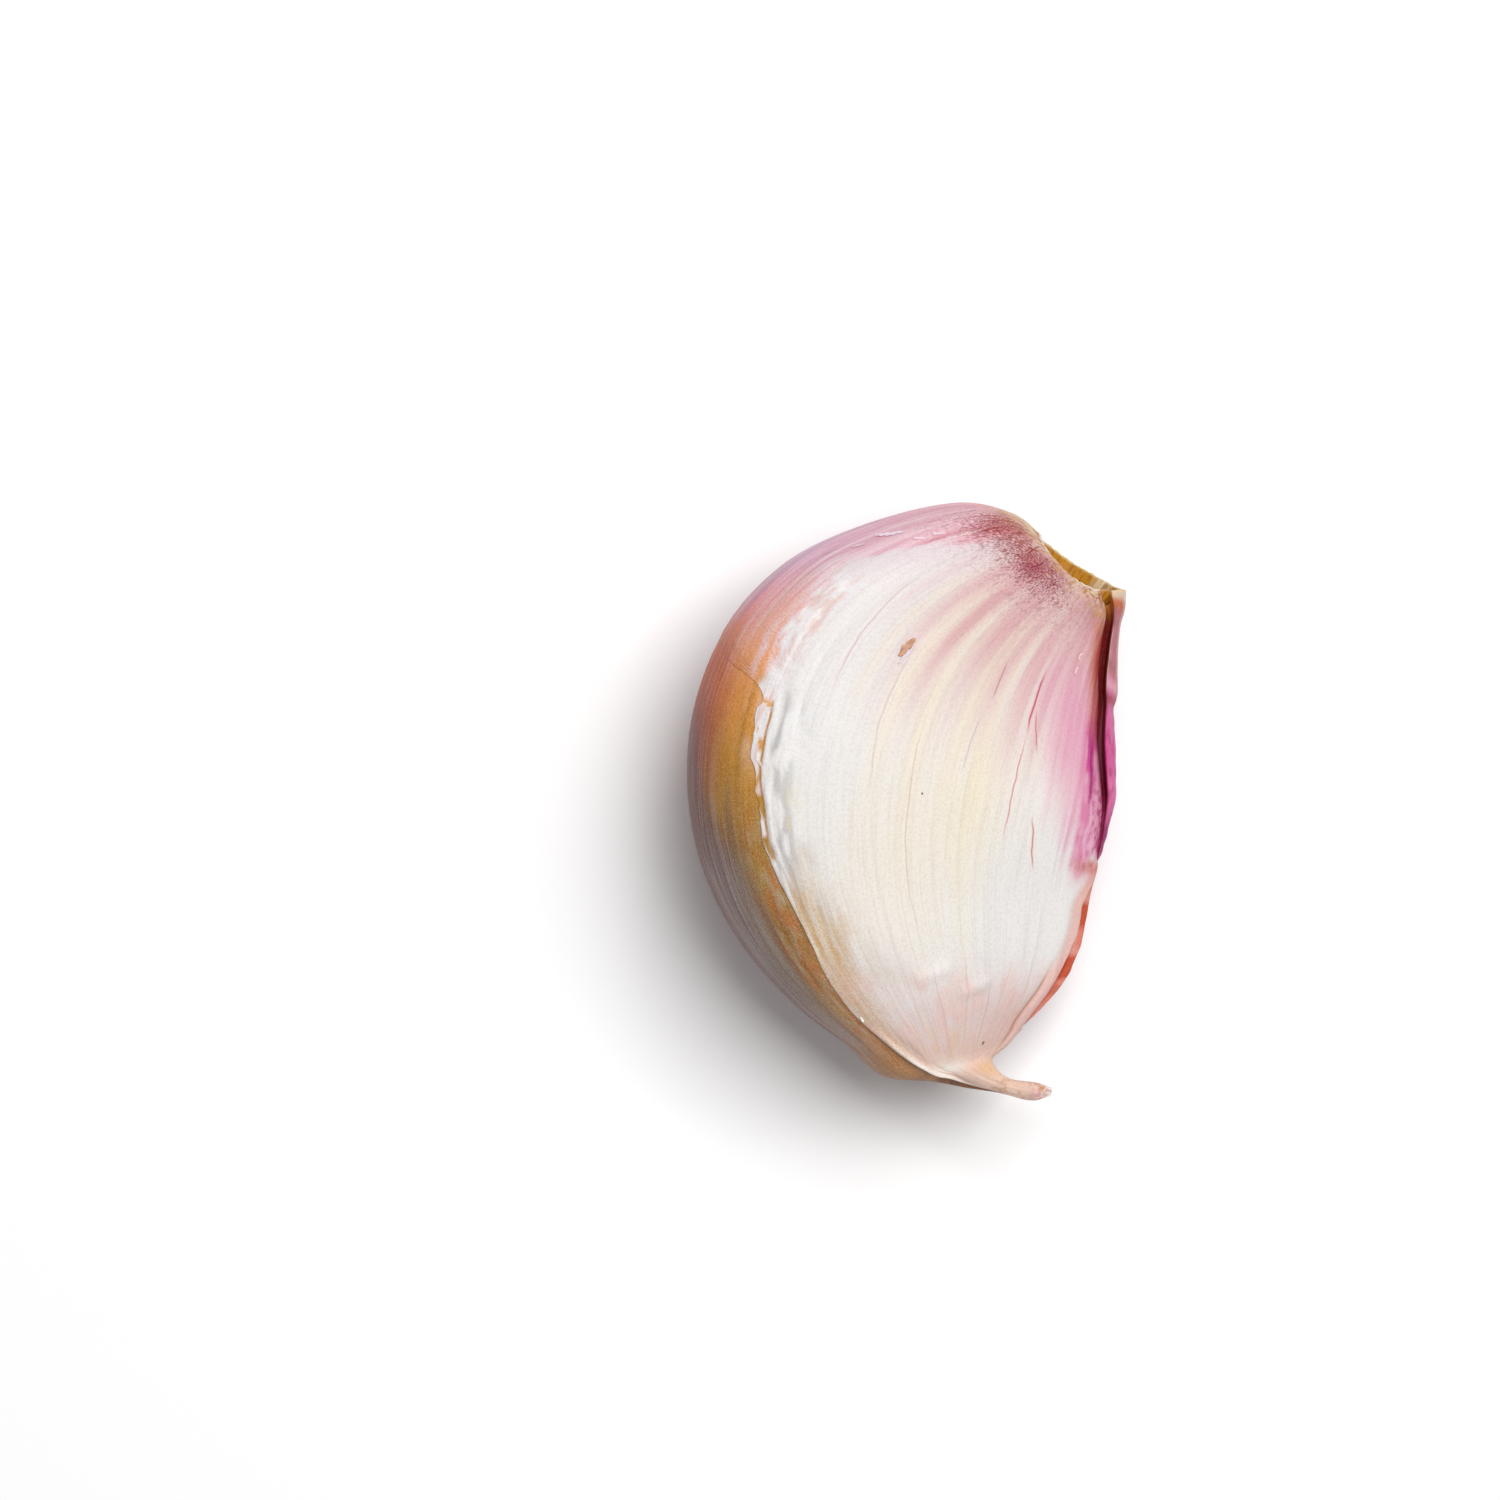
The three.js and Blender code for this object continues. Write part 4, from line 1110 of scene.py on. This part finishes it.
def vein(tree, from_along, to_along, from_around, to_around, width):
    """One vein: a thin line between two places, with a slight wander, that tapers at both ends."""
    u, v = uv_parts(tree)
    wander = streak_noise(tree, 0, 26, detail=2, seed=from_around * 40)
    slope = (to_around - from_around) / (to_along - from_along)
    line = plus(tree, times(tree, v, slope), from_around - slope * from_along)
    line = plus(tree, line, times(tree, plus(tree, wander, -0.5), 0.007))
    away = maths(tree, "ABSOLUTE", maths(tree, "SUBTRACT", u, line))
    middle, half = (from_along + to_along) / 2, (to_along - from_along) / 2
    ends = maths(tree, "ABSOLUTE", plus(tree, v, -middle))
    return times(tree, steps(tree, away, width, 0.0), steps(tree, ends, half, half * 0.4))


def fine_veins(tree, per_turn, width, seed, along=3.0):
    """Thin lines that run along the clove at uneven spacings, so many per turn."""
    u, _ = uv_parts(tree)
    shift = times(tree, streak_noise(tree, per_turn * 0.35, along * 0.4, detail=1, seed=seed), 1.3)
    place = plus(tree, times(tree, u, per_turn), shift)
    away = maths(tree, "ABSOLUTE", plus(tree, maths(tree, "FRACT", place), -0.5))
    breaks = streak_noise(tree, per_turn * 1.3, along, detail=2, seed=seed + 5)
    return times(tree, steps(tree, away, width, 0.0), steps(tree, breaks, 0.42, 0.6))


def skin_like(name, roughness, vein_code, veins=()):
    """Dry garlic skin: the painted tint, broken up by fibres, grains, dots and veins."""
    material = bpy.data.materials.new(name)
    material.use_nodes = True
    tree = material.node_tree
    shader = tree.nodes["Principled BSDF"]
    shader.inputs["Specular IOR Level"].default_value = 0.1
    fibres = streak_noise(tree, 420, 9, detail=3, seed=1)
    strands = streak_noise(tree, 130, 4, detail=2, seed=2)
    hairs = streak_noise(tree, 520, 11, detail=2, seed=4)
    cords = streak_noise(tree, 230, 5, detail=3, seed=6)
    speckle = grain(tree, 0.09 * MM, 3)
    stipple = grain(tree, 0.05 * MM, 2)
    cells = grain(tree, 0.22 * MM, 2)
    marks = plus(tree, streak_noise(tree, 520, 260, detail=2, seed=3), times(tree, zone(tree, "dots"), 0.1))
    blots = streak_noise(tree, 170, 90, detail=3, seed=8)
    flakes = streak_noise(tree, 620, 360, detail=3, seed=9)
    flakes = plus(tree, flakes, times(tree, zone(tree, "golden"), 0.08))
    base = add(tree, "ShaderNodeAttribute", {}, attribute_name="tint")
    for pattern, low, high, where, strength, least, code, mode in (
        (strands, 0.5, 0.72, "fibres", 0.13, 0, "#efecea", "MIX"),
        (strands, 0.5, 0.3, "fibres", 0.11, 0, "#d0b8b6", "MULTIPLY"),
        (fibres, 0.5, 0.34, "fibres", 0.13, 0, "#d0c2be", "MULTIPLY"),
        (hairs, 0.55, 0.68, "strands", 0.45, 0, "#ddd4d6", "MIX"),
        (hairs, 0.45, 0.32, "strands", 0.55, 0, "#9a6c74", "MULTIPLY"),
        (cords, 0.55, 0.7, "strands", 0.24, 0, "#e0d4d8", "MIX"),
        (cords, 0.45, 0.32, "strands", 0.4, 0, "#a8807c", "MULTIPLY"),
        (speckle, 0.56, 0.36, "speckled", 0, 0.12, "#c4b0aa", "MULTIPLY"),
        (stipple, 0.5, 0.34, "speckled", 0.38, 0.06, "#a87c70", "MULTIPLY"),
        (stipple, 0.52, 0.68, "speckled", 0.15, 0.05, "#ecdfce", "MIX"),
        (marks, 0.54, 0.64, "dots", 0.78, 0, "#86283a", "MIX"),
        (blots, 0.52, 0.66, "dots", 0.7, 0, "#84262c", "MIX"),
        (flakes, 0.48, 0.7, "golden", 0.42, 0, "#c8984e", "MIX"),
    ):
        amount = plus(tree, times(tree, zone(tree, where), strength), least)
        base = blend(tree, times(tree, steps(tree, pattern, low, high), amount), base, code, mode)
    lines = times(tree, fine_veins(tree, 30, 0.05, 7.0), zone(tree, "veined"))
    base = blend(tree, times(tree, lines, 0.24), base, vein_code)
    for code, strength, *place in veins:
        base = blend(tree, times(tree, vein(tree, *place), strength), base, code)
    fine = plus(tree, times(tree, speckle, 0.2), times(tree, cells, 0.3))
    height = plus(tree, times(tree, fibres, 0.5), fine)
    limits = {"To Min": roughness - 0.08, "To Max": roughness + 0.08}
    rough = add(tree, "ShaderNodeMapRange", {"Value": strands, **limits})
    tree.links.new(base, shader.inputs["Base Color"])
    tree.links.new(rough, shader.inputs["Roughness"])
    normal = add(tree, "ShaderNodeBump", {"Height": height, "Distance": 0.035 * MM, "Strength": 1.0})
    tree.links.new(normal, shader.inputs["Normal"])
    return material


LEAF_VEINS = (
    # colour, strength, from along, to along, from around, to around, width
    ("#8c2c38", 0.75, 0.05, 0.15, 0.422, 0.398, 0.0028),
    ("#8c2c38", 0.7, 0.055, 0.14, 0.436, 0.422, 0.0022),
    ("#9a4040", 0.6, 0.06, 0.15, 0.448, 0.44, 0.002),
    ("#8c2c38", 0.65, 0.055, 0.125, 0.404, 0.374, 0.0024),
    ("#8c3040", 0.6, 0.06, 0.12, 0.386, 0.348, 0.0022),
    ("#7c2438", 0.65, 0.065, 0.125, 0.356, 0.32, 0.0026),
    ("#8c3c50", 0.55, 0.07, 0.135, 0.312, 0.286, 0.0024),
    ("#a0707c", 0.5, 0.71, 0.74, 0.2705, 0.2475, 0.001),
    ("#a0707c", 0.5, 0.739, 0.764, 0.2475, 0.286, 0.001),
    ("#c0305c", 0.9, 0.205, 0.3, 0.15, 0.144, 0.0026),
    ("#c8586c", 0.75, 0.285, 0.435, 0.145, 0.145, 0.0016),
    ("#b84868", 0.7, 0.258, 0.315, 0.144, 0.124, 0.0018),
    ("#c8505c", 0.8, 0.38, 0.465, 0.115, 0.098, 0.002),
    ("#b06a6c", 0.65, 0.225, 0.28, 0.206, 0.2, 0.0017),
    ("#a8908c", 0.45, 0.29, 0.37, 0.205, 0.208, 0.0014),
    ("#c88c94", 0.5, 0.19, 0.345, 0.37, 0.356, 0.0017),
    ("#b79a92", 0.45, 0.3, 0.56, 0.26, 0.25, 0.0014),
    ("#c09a98", 0.4, 0.25, 0.42, 0.308, 0.296, 0.0014),
    ("#cc9890", 0.5, 0.56, 0.77, 0.245, 0.242, 0.0018),
    ("#d09c94", 0.5, 0.54, 0.76, 0.193, 0.204, 0.0018),
    ("#c88e8c", 0.55, 0.6, 0.74, 0.154, 0.16, 0.0016),
    ("#d0ac9c", 0.45, 0.56, 0.69, 0.114, 0.14, 0.0018),
    ("#ccaa9c", 0.45, 0.55, 0.68, 0.082, 0.078, 0.002),
    ("#ccb09a", 0.5, 0.57, 0.7, 0.283, 0.295, 0.0016),
    ("#c8ac94", 0.45, 0.59, 0.68, 0.32, 0.326, 0.0016),
    ("#cca094", 0.5, 0.64, 0.74, 0.324, 0.312, 0.0016),
)


def plain(name, code, roughness):
    material = bpy.data.materials.new(name)
    material.use_nodes = True
    shader = material.node_tree.nodes["Principled BSDF"]
    shader.inputs["Base Color"].default_value = (*tone(code), 1)
    shader.inputs["Roughness"].default_value = roughness
    return material


clove = make_clove()
leaf = sheet("papery_leaf", 184, 256, leaf_shape, LEAF_SHEET)
flecks = make_flecks()
paint_clove(clove.data)
finish_piece(clove, skin_like("clove_skin", 0.46, "#5a2c3c"), "clove_skin", "clove")
paper = skin_like("papery_leaf", 0.5, "#b98478", LEAF_VEINS)
paint_leaf(leaf.data)
finish_piece(leaf, paper, "papery_leaf", "papery_leaf")
finish_piece(flecks, paper, "papery_leaf")

# ---------------------------------------------------------------- stage, light and camera
FLOOR_SIZE = 4
WINDOW_PLACE = (0.148, 0.172, 0.555)
WINDOW_SIZE = 0.34
WINDOW_POWER = 3.36
ROOM_LIGHT = 0.315
VIEW_HEIGHT = 0.446
VIEW_CENTRE = (-8.45 * MM, 2.78 * MM)
MIDDLE_HEIGHT = 8.5 * MM
LENS = 200
FILM_WIDTH = 36


def in_scene(name, data):
    """A light or a camera in the scene."""
    item = bpy.data.objects.new(name, data)
    bpy.context.scene.collection.objects.link(item)
    return item


deselect_all()
bpy.ops.mesh.primitive_plane_add(size=FLOOR_SIZE, location=(0, 0, 0))
floor = bpy.context.active_object
floor.name = "floor"
floor.data.materials.append(plain("pale_floor", "#fbfbfb", 0.9))

# one soft light that looks at the clove, and even light from all round
lamp = bpy.data.lights.new("window", "AREA")
lamp.shape = "SQUARE"
lamp.size = WINDOW_SIZE
lamp.energy = WINDOW_POWER
window = in_scene("window", lamp)
window.location = WINDOW_PLACE
window.rotation_euler = (-Vector(WINDOW_PLACE)).to_track_quat("-Z", "Y").to_euler()
world = bpy.data.worlds.new("studio")
bpy.context.scene.world = world
world.use_nodes = True
background = world.node_tree.nodes["Background"]
background.inputs["Color"].default_value = (1, 1, 1, 1)
background.inputs["Strength"].default_value = ROOM_LIGHT
bpy.context.scene.view_settings.view_transform = "Standard"

# the camera looks straight down
camera_data = bpy.data.cameras.new("camera")
camera_data.lens = LENS
camera_data.sensor_width = FILM_WIDTH
camera_data.clip_start = 0.01
camera = in_scene("camera", camera_data)
camera.location = (*VIEW_CENTRE, MIDDLE_HEIGHT + VIEW_HEIGHT)
bpy.context.scene.camera = camera
